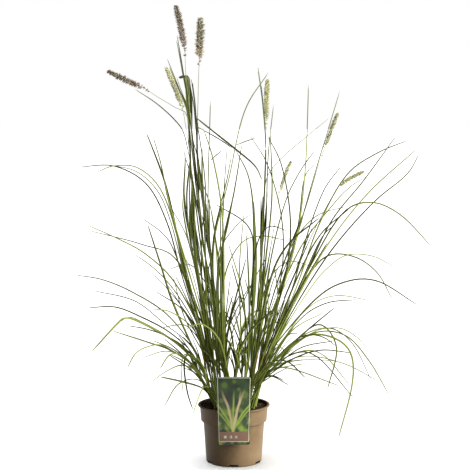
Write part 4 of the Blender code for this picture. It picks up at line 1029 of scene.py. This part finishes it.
def makeHead(name, piece, material, rng):
    form = headForm
    look = headLooks[piece["stem"]["look"]]
    head = piece["head"]
    loose = [point for point in piece["culm"] if (point - head[0]).length < form["looseLength"]]
    curve = [*loose, *head[1:]]
    radius = piece["stem"]["width"] * cm / 2 * look["wider"]
    length = lengthOf(curve)
    headAt = 1 - lengthOf(head) / length
    path = resample(curve, np.linspace(0, 1, form["rows"]))
    along = directions(path)
    sides = carriedAcross(along, Vector((1, 0, 0)))
    strewn = {kind: {"starts": [], "ends": [], "widths": [], "tones": [], "ages": []}
              for kind in ("seeds", "bristles")}

    def onHead(share, angle, out):
        index = min(int(share * form["rows"]), form["rows"] - 1)
        return path[index] + float(out) * spokeOf(along[index], sides[index], angle), along[index]

    def addHair(kind, share, angle, out, forward, width, tone):
        # from the stalk outwards and on towards the tip, and never past the top of the solids' box
        root = onHead(share, angle, form["stalkRadius"])[0]
        end, tangent = onHead(share, angle, out)
        end = end + tangent * min(forward, (1 - share) * length)
        ceiling = cadBox[1][2] - width / 2
        if end.z > ceiling:
            end = root.lerp(end, max((ceiling - root.z) / (end.z - root.z), form["shortest"]))
        hair = {"starts": root, "ends": end, "widths": width, "tones": tone,
                "ages": (share - headAt) / (1 - headAt)}
        for key, value in hair.items():
            strewn[kind][key].append(value)

    leastTone, toneShare, toneChance = form["bristleTones"]
    looseCount = int(form["loosePerCm"] * headAt * length / cm)
    count = int(look["seedsPerCm"] * (1 - headAt) * length / cm)
    shares = [*rng.uniform(0, headAt, looseCount), *np.linspace(headAt, form["lastSeed"], count)]
    for index, share in enumerate(shares):
        onward = (share - headAt) / (1 - headAt)
        kept = np.interp(onward, (0, look["frayed"]), (form["thinnest"], 1))
        if onward >= 0 and rng.uniform() > kept:
            continue
        reach = radius * (np.interp(onward, *headGirth) if onward >= 0 else form["looseReach"])
        angle = index * form["goldenAngle"] + rng.uniform(-form["wobble"], form["wobble"])
        tone = rng.uniform()
        addHair("seeds", share, angle, form["seedReach"] * reach, form["seedLength"] * form["seedForward"],
                form["seedWidth"] * look["plumper"] * rng.uniform(*form["seedsVary"]),
                tone * form["seedTone"])
        longer = rng.uniform(*form["bristlesVary"])
        for hair in range(look["bristlesPerSeed"] if onward >= 0 else form["looseBristles"]):
            addHair("bristles", share, angle + rng.normal(0, form["fan"]),
                    reach * longer * rng.uniform(*form["reach"]),
                    reach * rng.uniform(*form["forward"]) * look["sleeker"],
                    form["bristleWidth"] * look["finer"],
                    leastTone + toneShare * tone + rng.uniform(-toneChance, toneChance))
    bm = newShape()
    stalk = path[:-2]
    addTube(bm, stalk, [form["stalkRadius"]] * len(stalk), form["stalkAround"], 0, 0)
    bmesh.ops.remove_doubles(bm, verts=bm.verts, dist=smallest)
    points, faces = pointsAndFaces(bm)
    stalkTones = np.full(len(points), form["stalkTone"])
    stalkAges = np.full(len(points), form["stalkAge"])
    parts = [(points, faces, stalkTones, stalkAges), strew(seedShape(), **strewn["seeds"]),
             strew(bristleShape(), **strewn["bristles"])]
    allFaces = []
    shift = 0
    for points, faces, tones, ages in parts:
        allFaces += [[corner + shift for corner in face] for face in faces]
        shift += len(points)
    mesh = bpy.data.meshes.new(name)
    mesh.from_pydata(np.vstack([part[0] for part in parts]), [], allFaces)
    for layer, column in (("tone", 2), ("age", 3)):
        values = np.concatenate([part[column] for part in parts]).astype(np.float32)
        mesh.attributes.new(layer, "FLOAT", "POINT").data.foreach_set("value", values)
    addPiece(mesh, name.replace("plume", "flower_head"), material, name)


# Plant materials.
leafColours = {"dark": paint(71, 80, 32), "middle": paint(103, 117, 50), "bright": paint(148, 160, 70),
               "rib": paint(142, 150, 72), "base": paint(104, 114, 38), "tip": paint(110, 110, 64),
               "dry": paint(156, 108, 56)}
culmColours = {"green": paint(92, 104, 44), "pale": paint(134, 138, 80), "dark": paint(64, 70, 34),
               "top": paint(158, 160, 116)}
# turn: where along a head its low colour gives way to its high one
headColours = {
    "ripeDark": {"low": paint(178, 160, 140), "high": paint(146, 134, 104), "dark": paint(112, 100, 80),
                 "light": paint(220, 206, 182), "turn": (0.2, 0.8)},
    "ripeKhaki": {"low": paint(222, 200, 158), "high": paint(178, 172, 134), "dark": paint(130, 120, 92),
                  "light": paint(226, 220, 190), "turn": (0.2, 0.42)},
    "young": {"low": paint(230, 229, 186), "high": paint(220, 219, 172), "dark": paint(208, 207, 154),
              "light": paint(238, 238, 208), "turn": (0.5, 0.95)}}


def leafMaterial():
    material = newMaterial("grass leaf", {"Specular IOR Level": 0.16})
    start = Wire(material.node_tree)
    strip = start.onStrip()
    across, along = strip.part("X"), strip.part("Y")
    tone = start.carried("tone")
    patch = start.onPiece().speckle(14.0, 3.0)
    shade = tone * 0.78 + patch * 0.55 - along * 0.22 + 0.02
    green = shade.ramp((0.0, leafColours["dark"]), (0.5, leafColours["middle"]),
                       (1.0, leafColours["bright"]))
    fromRib = abs(start.maths("FRACT", across * 2.0) - 0.5)  # the midrib, on both faces
    green = (fromRib.rise(0.05, 0.015) * 0.45).mix(green, leafColours["rib"])
    veins = start.node("CombineXYZ", (), {0: across * 46.0, 1: along * 3.0, 2: tone * 9.0})
    veins = veins.speckle(1.0, 1.0)
    green = (veins.rise(0.35, 0.7) * 0.22).mix(green, leafColours["dark"])
    green = (along.rise(0.16, 0.0) * 0.6).mix(green, leafColours["base"])
    green = (along.rise(0.72, 1.0) * 0.7).mix(green, leafColours["tip"])
    drying = (start.carried("age") + patch * 0.3 + along * 0.15).rise(0.72, 0.98)
    feed(material, {"Base Color": drying.mix(green, leafColours["dry"]),
                    "Roughness": patch * 0.2 + 0.5, "Normal": veins.bump(0.00015, 0.6)})
    return material


def culmMaterial():
    material = newMaterial("grass stem", {"Specular IOR Level": 0.25})
    start = Wire(material.node_tree)
    strip = start.onStrip()
    across, along = strip.part("X"), strip.part("Y")
    patch = start.onPiece().speckle(22.0, 3.0)
    shade = start.carried("tone") * 0.7 + patch * 0.5 - 0.1
    green = shade.ramp((0.0, culmColours["dark"]), (0.55, culmColours["green"]),
                       (1.0, culmColours["pale"]))
    green = (along.rise(0.7, 0.92) * 0.8).mix(green, culmColours["top"])
    ribs = start.node("CombineXYZ", (), {0: across * 30.0, 1: along * 4.0}).speckle(1.0, 1.0)
    feed(material, {"Base Color": (ribs.rise(0.4, 0.7) * 0.25).mix(green, culmColours["dark"]),
                    "Roughness": patch * 0.15 + 0.42, "Normal": ribs.bump(0.00012, 0.6)})
    return material


def headMaterial(name):
    colours = headColours[name]
    material = newMaterial(name + " flower head", {"Specular IOR Level": 0.25})
    start = Wire(material.node_tree)
    tone = start.carried("tone")
    patch = start.onPiece().speckle(260.0, 2.0)
    colour = start.carried("age").rise(*colours["turn"]).mix(colours["low"], colours["high"])
    colour = ((tone + patch * 0.6).rise(0.95, 0.3) * 0.8).mix(colour, colours["dark"])
    colour = ((tone * 0.8 + patch * 0.6).rise(0.85, 1.2) * 0.7).mix(colour, colours["light"])
    feed(material, {"Base Color": colour, "Roughness": patch * 0.2 + 0.65})
    return material


leafFinish = leafMaterial()
culmFinish = culmMaterial()
headFinishes = {name: headMaterial(name) for name in headColours}

firstSeed = 100
for name, piece in plant.items():
    rng = np.random.default_rng(firstSeed + piece["owner"])
    if "culm" in piece:
        makeStem(name, piece, culmFinish, rng)
        makeHead(name.replace("flower_stem", "plume"), piece, headFinishes[piece["stem"]["look"]], rng)
    else:
        makeShoot(name, piece, leafFinish, rng)
print("grew the leaves, stems and flower heads")


# Pot: a spun shell with a collar above a step, a rolled rim, a raised ring and notches round its foot.
# the last entry: the heights over which the painted shade on the inner wall fades out
potForm = {"steps": 120, "sharpAngle": 32, "wall": 0.0015, "floor": 0.0025, "collarDrop": 0.043,
           "collarTaper": 0.0037, "stepDepth": 0.006, "rimHeight": 0.0035, "rimReach": 0.0045,
           "rimSides": 6, "baseRadius": 0.073, "bandTop": 0.009, "ringBelowStep": 0.0035,
           "ringRadius": 0.0004, "ringPlaces": (-2.2, -1.0, 0.0, 1.0, 2.2), "notches": 6,
           "notchWidth": 0.024, "notchHeight": 0.0065, "notchReach": 0.014, "notchRound": 0.0028,
           "notchSegments": 5, "notchSpare": 0.01, "edge": 0.0006, "stepEdge": 0.0008,
           "footRound": ((0.0030, 0), (0.0012, 0.0003), (0.0003, 0.0012)), "footEnd": 0.004,
           "dustFoot": (0.03, 0.0), "dustRim": (0.140, 0.152), "innerShadeTo": (0.1525, 0.149)}
# the last colour is painted shade, for the inner wall above the soil and for the underside
potColours = {"clay": paint(118, 95, 66), "pale": paint(133, 111, 81), "dust": paint(84, 66, 46),
              "paintedShade": paint(34, 25, 18)}


def potSizes():
    # radii and heights of the pot's outside, from its solid's box
    form = potForm
    low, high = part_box("pot")
    collar = high.x - form["rimReach"]
    collarLow = collar - form["collarTaper"]
    return {"rim": high.x, "top": high.z, "collar": collar, "collarLow": collarLow,
            "step": high.z - form["collarDrop"], "bodyTop": collarLow - form["stepDepth"]}


potSize = potSizes()


def potMaterial():
    form = potForm
    step = potSize["step"]
    material = newMaterial("pot plastic", {"Specular IOR Level": 0.25})
    place = Wire(material.node_tree).onPiece()
    height = place.part("Z")
    cloud = place.speckle(22.0, 4.0)
    grain = place.speckle(900.0, 2.0)
    colour = cloud.rise(0.3, 0.75).mix(potColours["clay"], potColours["pale"])
    # dust at the foot and below the rim
    stain = height.rise(*form["dustFoot"]) + height.rise(*form["dustRim"]) * 0.5
    stain = stain * cloud.rise(0.4, 0.65)
    colour = (stain * 0.35).mix(colour, potColours["dust"])
    colour = (grain.rise(0.62, 0.75) * 0.12).mix(colour, potColours["dust"])
    # painted shade: the inner wall above the soil is darkened where shade falls inside the rim
    out = (place.part("X") ** 2.0 + place.part("Y") ** 2.0) ** 0.5
    outside = (height - step) * (form["collarTaper"] / form["collarDrop"]) + potSize["collarLow"]
    within = (outside - out).rise(form["wall"] * 0.4, form["wall"] * 0.9)
    within = within * height.rise(step + 2 * mm, step + 4 * mm) * height.rise(*form["innerShadeTo"])
    colour = (within * 0.92).mix(colour, potColours["paintedShade"])
    # painted shade on the underside and on what shows through the notches
    under = out.rise(form["baseRadius"] - 0.5 * mm, form["baseRadius"] - 2 * mm)
    under = under * height.rise(step * 0.5, step * 0.4)
    colour = (under * 0.95).mix(colour, potColours["paintedShade"])
    feed(material, {"Base Color": colour, "Roughness": cloud * 0.18 + grain * 0.08 + 0.38,
                    "Normal": grain.bump(0.00008, 0.5)})
    return material


def spun(profile, steps):
    # a closed outline of (radius, height) points turned about Z
    bm = newShape()
    verts = [bm.verts.new((radius, 0, height)) for radius, height in profile]
    edges = [bm.edges.new(pair) for pair in zip(verts, verts[1:])]
    bmesh.ops.spin(bm, geom=verts + edges, cent=(0, 0, 0), axis=(0, 0, 1), steps=steps,
                   angle=math.tau, use_merge=True)
    bmesh.ops.remove_doubles(bm, verts=bm.verts, dist=smallest)
    bmesh.ops.recalc_face_normals(bm, faces=bm.faces)
    return bm


def potProfile():
    form = potForm
    top, step, collar = potSize["top"], potSize["step"], potSize["collar"]
    collarLow, bodyTop = potSize["collarLow"], potSize["bodyTop"]
    wall, base, floor = form["wall"], form["baseRadius"], form["floor"]
    rimLow, edge, stepEdge = top - form["rimHeight"], form["edge"], form["stepEdge"]
    slope = (bodyTop - base) / step
    bead = form["rimHeight"] / 2
    # up the outside, with small rounds at the foot, the step and the rim
    profile = [(0, 0), *((base - inward, height) for inward, height in form["footRound"]),
               *((base + slope * height, height) for height in (form["footEnd"], form["bandTop"]))]
    for place in form["ringPlaces"]:
        height = step - form["ringBelowStep"] + place * form["ringRadius"]
        profile.append((base + slope * height + form["ringRadius"] * math.exp(-place ** 2), height))
    profile += [(bodyTop, step - edge), (bodyTop + stepEdge, step), (collarLow - mm, step),
                (collarLow, step + stepEdge), (collar - edge, rimLow - stepEdge), (collar + edge, rimLow)]
    for turn in range(form["rimSides"] + 1):
        angle = math.radians(-90 + 180 * turn / form["rimSides"])
        profile.append((potSize["rim"] - bead + bead * math.cos(angle),
                        top - bead + bead * math.sin(angle)))
    # down the inside to the middle of the floor
    return [*profile, (collar - wall + edge, top), (collar - wall, top - edge),
            (collarLow - wall, step + wall), (bodyTop - wall, step + 0.2 * mm),
            (base - wall + mm, floor + mm), (base - wall - mm, floor), (0, floor)]


def addNotchCutter(cutters, angle):
    form = potForm
    bm = bmesh.new()
    bmesh.ops.create_cube(bm, size=1)
    size = (form["notchWidth"], form["notchReach"] + form["notchSpare"],
            form["notchHeight"] + form["notchSpare"])
    bmesh.ops.scale(bm, vec=size, verts=bm.verts)
    bmesh.ops.translate(bm, vec=(0, -form["baseRadius"] + form["notchReach"] - size[1] / 2,
                                 form["notchHeight"] - size[2] / 2), verts=bm.verts)
    corners = [edge for edge in bm.edges
               if edge.verts[0].co.x * edge.verts[1].co.x > 0
               and min(vert.co.z for vert in edge.verts) > form["notchHeight"] / 2]
    bmesh.ops.bevel(bm, geom=corners, offset=form["notchRound"], affect="EDGES",
                    segments=form["notchSegments"], profile=0.5, material=-1)
    bmesh.ops.transform(bm, matrix=Matrix.Rotation(angle, 4, "Z"), verts=bm.verts)
    cutters.objects.link(bpy.data.objects.new("notch", newMesh(bm, "notch")))


def makePot():
    cutters = bpy.data.collections.new("notch cutters")
    bpy.context.scene.collection.children.link(cutters)
    for index in range(potForm["notches"]):
        addNotchCutter(cutters, math.tau * index / potForm["notches"])
    body = addObject("pot body", newMesh(spun(potProfile(), potForm["steps"]), "pot shell"))
    cut = body.modifiers.new("notches", "BOOLEAN")
    cut.operation = "DIFFERENCE"
    cut.solver = "EXACT"
    cut.operand_type = "COLLECTION"
    cut.collection = cutters
    graph = bpy.context.evaluated_depsgraph_get()
    mesh = bpy.data.meshes.new_from_object(body.evaluated_get(graph))
    for item in [body, *cutters.objects]:
        bpy.data.objects.remove(item)
    bpy.data.collections.remove(cutters)
    mesh.materials.clear()
    shadeTo(mesh, potForm["sharpAngle"])
    addPiece(mesh, "nursery_pot", potMaterial(), "pot")


makePot()
print("moulded the pot")


# Soil: a lumpy mound that fills the pot, with crumbs and dry fibres on it.
soilForm = {"steps": 150, "rings": 34, "sharpAngle": 40, "fit": 0.0005, "shrunk": 0.018,
            "shrunkTo": 0.009, "sunk": 0.0012, "reach": 0.09, "mound": 0.00088, "lumps": 0.0009,
            "lumpScale": 130, "wideScale": 60, "wideShare": 0.7, "calmEdge": 6, "edgeLumps": 0.35,
            "crumbs": 900, "crumbSize": (0.0008, 0.0024), "crumbSink": 0.25, "crumbShare": 0.96,
            "crumbTones": (0, 0.95), "fibres": 160, "fibreLength": (0.004, 0.013),
            "fibreRadii": (0.0005, 0.0003), "fibreTilt": 12, "fibreLift": 0.0008, "fibreShare": 0.9}
soilColours = {"dark": paint(20, 13, 9), "brown": paint(52, 34, 24), "fibre": paint(112, 82, 52)}


def soilMaterial():
    material = newMaterial("potting soil", {"Specular IOR Level": 0.3})
    start = Wire(material.node_tree)
    lump = start.onPiece().speckle(190.0, 5.0, 0.65)
    tone = start.carried("tone")
    colour = (lump * 0.8 + tone * 0.35).rise(0.35, 0.85).mix(soilColours["dark"], soilColours["brown"])
    colour = tone.rise(0.93, 0.97).mix(colour, soilColours["fibre"])
    feed(material, {"Base Color": colour, "Roughness": lump * 0.25 + 0.68,
                    "Normal": lump.bump(0.0006, 0.9)})
    return material


def soilHeight(x, y):
    # the soil's top: a low mound with lumps, level near the pot's wall
    form = soilForm
    out = math.hypot(x, y) / form["reach"]
    place = Vector((x, y, 0))
    lumps = noise.fractal(place * form["lumpScale"], 0.8, 2.1, 4)
    lumps += form["wideShare"] * noise.noise(place * form["wideScale"])
    calm = form["edgeLumps"] + (1 - form["edgeLumps"]) * min(1.0, max(0.0, (1 - out) * form["calmEdge"]))
    return layout["soilTop"] - form["sunk"] + form["mound"] * (1 - out ** 2) + form["lumps"] * lumps * calm


def somewhere(rng, radius, share):
    # a place on a disc, evenly spread over the given share of its area
    reach = radius * math.sqrt(rng.uniform(0, share))
    angle = rng.uniform(0, math.tau)
    return reach * math.cos(angle), reach * math.sin(angle)


def settle(bm, made, x, y, lift, tone):
    bmesh.ops.translate(bm, vec=(x, y, soilHeight(x, y) + lift), verts=made)
    for vert in made:
        vert[bm.verts.layers.float["tone"]] = tone


def makeSoil(rng):
    form = soilForm
    low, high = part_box("soil")
    top = layout["soilTop"]
    inward = potForm["wall"] + form["fit"]
    body = potForm["baseRadius"] - inward
    profile = [(high.x * ring / form["rings"], top) for ring in range(form["rings"] + 1)]
    profile += [(potSize["bodyTop"] - inward, potSize["step"]), (body, form["shrunkTo"]),
                (body - form["shrunk"], low.z), (0, low.z)]
    bm = spun(profile, form["steps"])
    for vert in bm.verts:
        if vert.co.z > top - mm:
            vert.co.z = soilHeight(vert.co.x, vert.co.y)
    for index in range(form["crumbs"]):
        x, y = somewhere(rng, high.x, form["crumbShare"])
        size = rng.uniform(*form["crumbSize"])
        made = bmesh.ops.create_icosphere(bm, subdivisions=1, radius=size)["verts"]
        squash = Vector((rng.uniform(0.7, 1.3), rng.uniform(0.7, 1.3), rng.uniform(0.5, 0.9)))
        bmesh.ops.scale(bm, vec=squash, verts=made)
        bmesh.ops.rotate(bm, matrix=Matrix.Rotation(rng.uniform(0, math.tau), 4, "Z"), verts=made)
        settle(bm, made, x, y, size * form["crumbSink"], rng.uniform(*form["crumbTones"]))
    for index in range(form["fibres"]):
        x, y = somewhere(rng, high.x, form["fibreShare"])
        made = bmesh.ops.create_cone(bm, cap_ends=True, segments=5, radius1=form["fibreRadii"][0],
                                     radius2=form["fibreRadii"][1],
                                     depth=rng.uniform(*form["fibreLength"]))["verts"]
        tilt = 90 + rng.uniform(-form["fibreTilt"], form["fibreTilt"])
        turn = Matrix.Rotation(rng.uniform(0, math.tau), 4, "Z")
        bmesh.ops.transform(bm, matrix=turn @ Matrix.Rotation(math.radians(tilt), 4, "X"), verts=made)
        settle(bm, made, x, y, form["fibreLift"], 1.0)
    finishPiece(bm, "potting_soil", soilMaterial(), "soil", form["sharpAngle"])


makeSoil(np.random.default_rng(7))
print("filled in the soil")


# Plant label: a card that stands before the pot and hangs over its rim by a tongue.
labelForm = {"bottom": 0.066, "top": 0.244, "bottomWidth": 0.080, "topWidth": 0.089, "corner": 0.005,
             "cornerSegments": 8, "roll": 1.0, "thickness": 0.0009, "front": -0.0964, "edge": 0.0002,
             "sharpAngle": 35, "frameSide": 0.0018, "frameTop": 0.0020, "frameBottom": 0.0080,
             "frameWidth": 0.0012, "bandTop": 0.1000, "tongueWidth": 0.024, "tongueThinner": 0.9,
             "tongueBack": -0.0805, "tongueBottom": 0.112, "tongueRings": 26, "overRim": 0.0008,
             "glow": (0.205, 0.105), "wander": 0.0038, "fanShift": 0.002, "bladeEnds": (0.118, 0.07),
             "signHeight": 0.0865, "signRadius": 0.0040, "signLine": 0.0006, "drop": (0.0024, 0.0019),
             "soft": 0.0003}
labelColours = {"night": paint(22, 30, 20), "shade": paint(44, 66, 30), "light": paint(146, 170, 68),
                "straw": paint(200, 180, 138), "band": paint(126, 94, 76), "frame": paint(212, 208, 182),
                "back": paint(206, 204, 192)}
# soft round lights in the picture: across, up, radius
labelLights = ((-0.024, 0.222, 0.011), (0.001, 0.232, 0.007), (0.028, 0.198, 0.013),
               (-0.031, 0.182, 0.008), (0.012, 0.212, 0.006))
# blades in the picture: lean, bend, half width, colour
labelBlades = ((-0.62, 2.2, 0.0040, "light"), (-0.34, 3.4, 0.0050, "light"),
               (-0.13, 1.3, 0.0052, "straw"), (-0.02, -0.4, 0.0040, "light"),
               (0.09, -1.6, 0.0046, "straw"), (0.33, -4.0, 0.0050, "light"),
               (0.24, 0.6, 0.0038, "straw"), (0.56, -2.6, 0.0040, "light"))
# small signs on the band: sun, half shade and water
labelSigns = (("sun", -0.022), ("half shade", -0.008), ("water", 0.006))


def distanceFrom(x, z, placeX, placeZ):
    return ((x - placeX) ** 2.0 + (z - placeZ) ** 2.0) ** 0.5


def labelPicture(place, x, z):
    # a generic print: a blurred garden with round lights, and a fan of blades above the band
    colour = place.speckle(30.0, 2.5).rise(0.36, 0.64).mix(labelColours["night"], labelColours["shade"])
    glow = z.rise(*labelForm["glow"]) * place.speckle(42.0, 1.5).rise(0.42, 0.68)
    colour = (glow * 0.8).mix(colour, labelColours["light"])
    for lightX, lightZ, size in labelLights:
        away = distanceFrom(x, z, lightX, lightZ)
        colour = (away.rise(size, size * 0.45) * 0.22).mix(colour, labelColours["light"])
    wander = (place.speckle(38.0, 0.0) - 0.5) * labelForm["wander"] - labelForm["fanShift"]
    up = z - labelForm["bandTop"]
    for lean, bend, width, name in labelBlades:
        bladeX = up * lean - (up ** 2.0) * bend + wander
        inside = abs(x - bladeX).rise(width, width * 0.1) * up.rise(*labelForm["bladeEnds"])
        colour = (inside * up.rise(-mm, 0) * 0.85).mix(colour, labelColours[name])
    return colour


def labelMaterial():
    form = labelForm
    material = newMaterial("label card", {"Specular IOR Level": 0.45})
    start = Wire(material.node_tree)
    place = start.onPiece()
    x, z = place.part("X"), place.part("Z")
    widening = (form["topWidth"] - form["bottomWidth"]) / (form["top"] - form["bottom"]) / 2
    halfCard = (z - form["bottom"]) * widening + form["bottomWidth"] / 2
    # how far in from the frame's outer line
    sides = halfCard - abs(x) - form["frameSide"]
    ends = start.maths("MINIMUM", z - (form["bottom"] + form["frameBottom"]),
                       (form["top"] - form["frameTop"]) - z)
    inward = start.maths("MINIMUM", sides, ends)
    width, soft = form["frameWidth"], form["soft"]
    band = inward.rise(0, width) * z.rise(form["bandTop"] + 2 * soft, form["bandTop"] - 2 * soft)
    colour = band.mix(labelPicture(place, x, z), labelColours["band"])
    radius, line = form["signRadius"], form["signLine"]
    for sign, signX in labelSigns:
        away = distanceFrom(x, z, signX, form["signHeight"])
        disc = away.rise(radius, radius - line)
        ring = disc - away.rise(radius - line, radius - 2 * line)
        inner = disc
        if sign == "half shade":
            inner = (x - signX).rise(-soft, soft) * disc
        if sign == "water":
            inner = away.rise(*form["drop"])
        colour = ((ring + inner) * 0.8).mix(colour, labelColours["frame"])
    trim = inward.rise(-soft, soft / 3) * inward.rise(width + soft, width - soft / 3)
    colour = trim.mix(colour, labelColours["frame"])
    facing = start.node("NewGeometry", (), (), 1).part("Y")
    colour = facing.rise(-0.4, -0.6).mix(labelColours["back"], colour)
    fine = place.speckle(120.0, 2.0)
    feed(material, {"Base Color": colour, "Roughness": fine * 0.12 + 0.30,
                    "Normal": fine.bump(0.00003, 0.4)})
    return material


def addCard(bm):
    form = labelForm
    bmesh.ops.create_grid(bm, x_segments=1, y_segments=1, size=0.5)
    for vert in bm.verts:
        width = form["topWidth"] if vert.co.y > 0 else form["bottomWidth"]
        vert.co = Vector((vert.co.x * width, 0, vert.co.y * (form["top"] - form["bottom"])))
    bmesh.ops.bevel(bm, geom=list(bm.verts), offset=form["corner"], affect="VERTICES",
                    segments=form["cornerSegments"], profile=0.5, material=-1)
    pushed = bmesh.ops.extrude_face_region(bm, geom=list(bm.faces))["geom"]
    back = [item for item in pushed if isinstance(item, bmesh.types.BMVert)]
    bmesh.ops.translate(bm, vec=(0, form["thickness"], 0), verts=back)
    rim = [edge for edge in bm.edges
           if abs(edge.verts[0].co.y - edge.verts[1].co.y) < form["thickness"] / 2]
    bmesh.ops.bevel(bm, geom=rim, offset=form["edge"], affect="EDGES", segments=2, profile=0.5,
                    material=-1)
    roll = Matrix.Rotation(math.radians(-form["roll"]), 4, "Y")
    bmesh.ops.rotate(bm, matrix=roll, verts=bm.verts)
    middle = (form["bottom"] + form["top"]) / 2
    bmesh.ops.translate(bm, vec=(0, form["front"], middle), verts=bm.verts)


def addTongue(bm):
    form = labelForm
    thick = form["thickness"]
    front, back = form["front"], form["tongueBack"] - thick / 2
    over = potSize["top"] + form["overRim"] + thick / 2
    # up behind the card, over the rim and down inside the pot
    marks = [(front + thick * 0.8, over - 0.004), (front + 0.0012, over), ((front + back) / 2, over),
             (back - 0.0005, over), (back, over - 0.002), (back, 0.13), (back, form["tongueBottom"])]
    curve = smoothPoints([Vector((0, y, z)) for y, z in marks])
    path = resample(curve, np.linspace(0, 1, form["tongueRings"]))
    along = directions(path)
    corners = ((-0.5, -0.5), (0.5, -0.5), (0.5, 0.5), (-0.5, 0.5))

    def pointOf(turn, ring):
        across, out = corners[turn]
        outward = Vector((1, 0, 0)).cross(along[ring])
        return path[ring] + Vector((form["tongueWidth"] * across, 0, 0)) \
            + outward * thick * out * form["tongueThinner"]

    wrapRings(bm, len(corners), len(path), (path[0], path[-1]), pointOf)


def makeLabel():
    bm = newShape()
    addCard(bm)
    addTongue(bm)
    finishPiece(bm, "plant_label", labelMaterial(), "label", labelForm["sharpAngle"])


makeLabel()
print("hung the label")


# Floor and light. A sun's azimuth: degrees to the right of the camera as seen from the plant.
stageForm = {"floorSize": 30.0, "floorSides": 96, "floor": paint(246, 246, 246), "sky": 0.13,
             "key": {"strength": 7.9, "angle": 50, "azimuth": 70, "height": 30},
             "top": {"strength": 5.4, "angle": 80, "azimuth": 180, "height": 85}}


def makeFloor():
    bm = bmesh.new()
    bmesh.ops.create_circle(bm, cap_ends=True, segments=stageForm["floorSides"],
                            radius=stageForm["floorSize"])
    floor = addObject("floor", newMesh(bm, "floor"))
    floor.data.materials.append(newMaterial("pale floor", {
        "Base Color": stageForm["floor"], "Roughness": 0.9, "Specular IOR Level": 0.1}))
    floor.visible_diffuse = False
    return floor


def makeSun(name, strength, angle, azimuth, height):
    sun = addObject(name, bpy.data.lights.new(name, "SUN"))
    sun.data.energy = strength
    sun.data.angle = math.radians(angle)
    turn, rise = math.radians(azimuth), math.radians(height)
    towards = Vector((math.sin(turn) * math.cos(rise), -math.cos(turn) * math.cos(rise), math.sin(rise)))
    sun.rotation_euler = towards.to_track_quat("Z", "Y").to_euler()
    return sun


def linkLight(sun, floor, state):
    # EXCLUDE: the sun lights everything but the floor; INCLUDE: it lights the floor alone
    group = bpy.data.collections.new(sun.name + " reach")
    group.objects.link(floor)
    group.collection_objects[0].light_linking.link_state = state
    sun.light_linking.receiver_collection = group


def makeSky():
    # white where the camera sees it, and dim as a light
    world = bpy.data.worlds.new("studio")
    world.use_nodes = True
    bpy.context.scene.world = world
    tree = world.node_tree
    sky = tree.nodes["Background"]
    sky.inputs["Color"].default_value = (1, 1, 1, 1)
    seen = Wire(tree).node("LightPath", (), (), 0)
    strength = seen * (1.0 - stageForm["sky"]) + stageForm["sky"]
    tree.links.new(strength.socket, sky.inputs["Strength"])


floor = makeFloor()
linkLight(makeSun("key light", **stageForm["key"]), floor, "EXCLUDE")
linkLight(makeSun("floor light", **stageForm["top"]), floor, "INCLUDE")
makeSky()
bpy.context.scene.view_settings.view_transform = "Standard"
print("set the floor and the light")
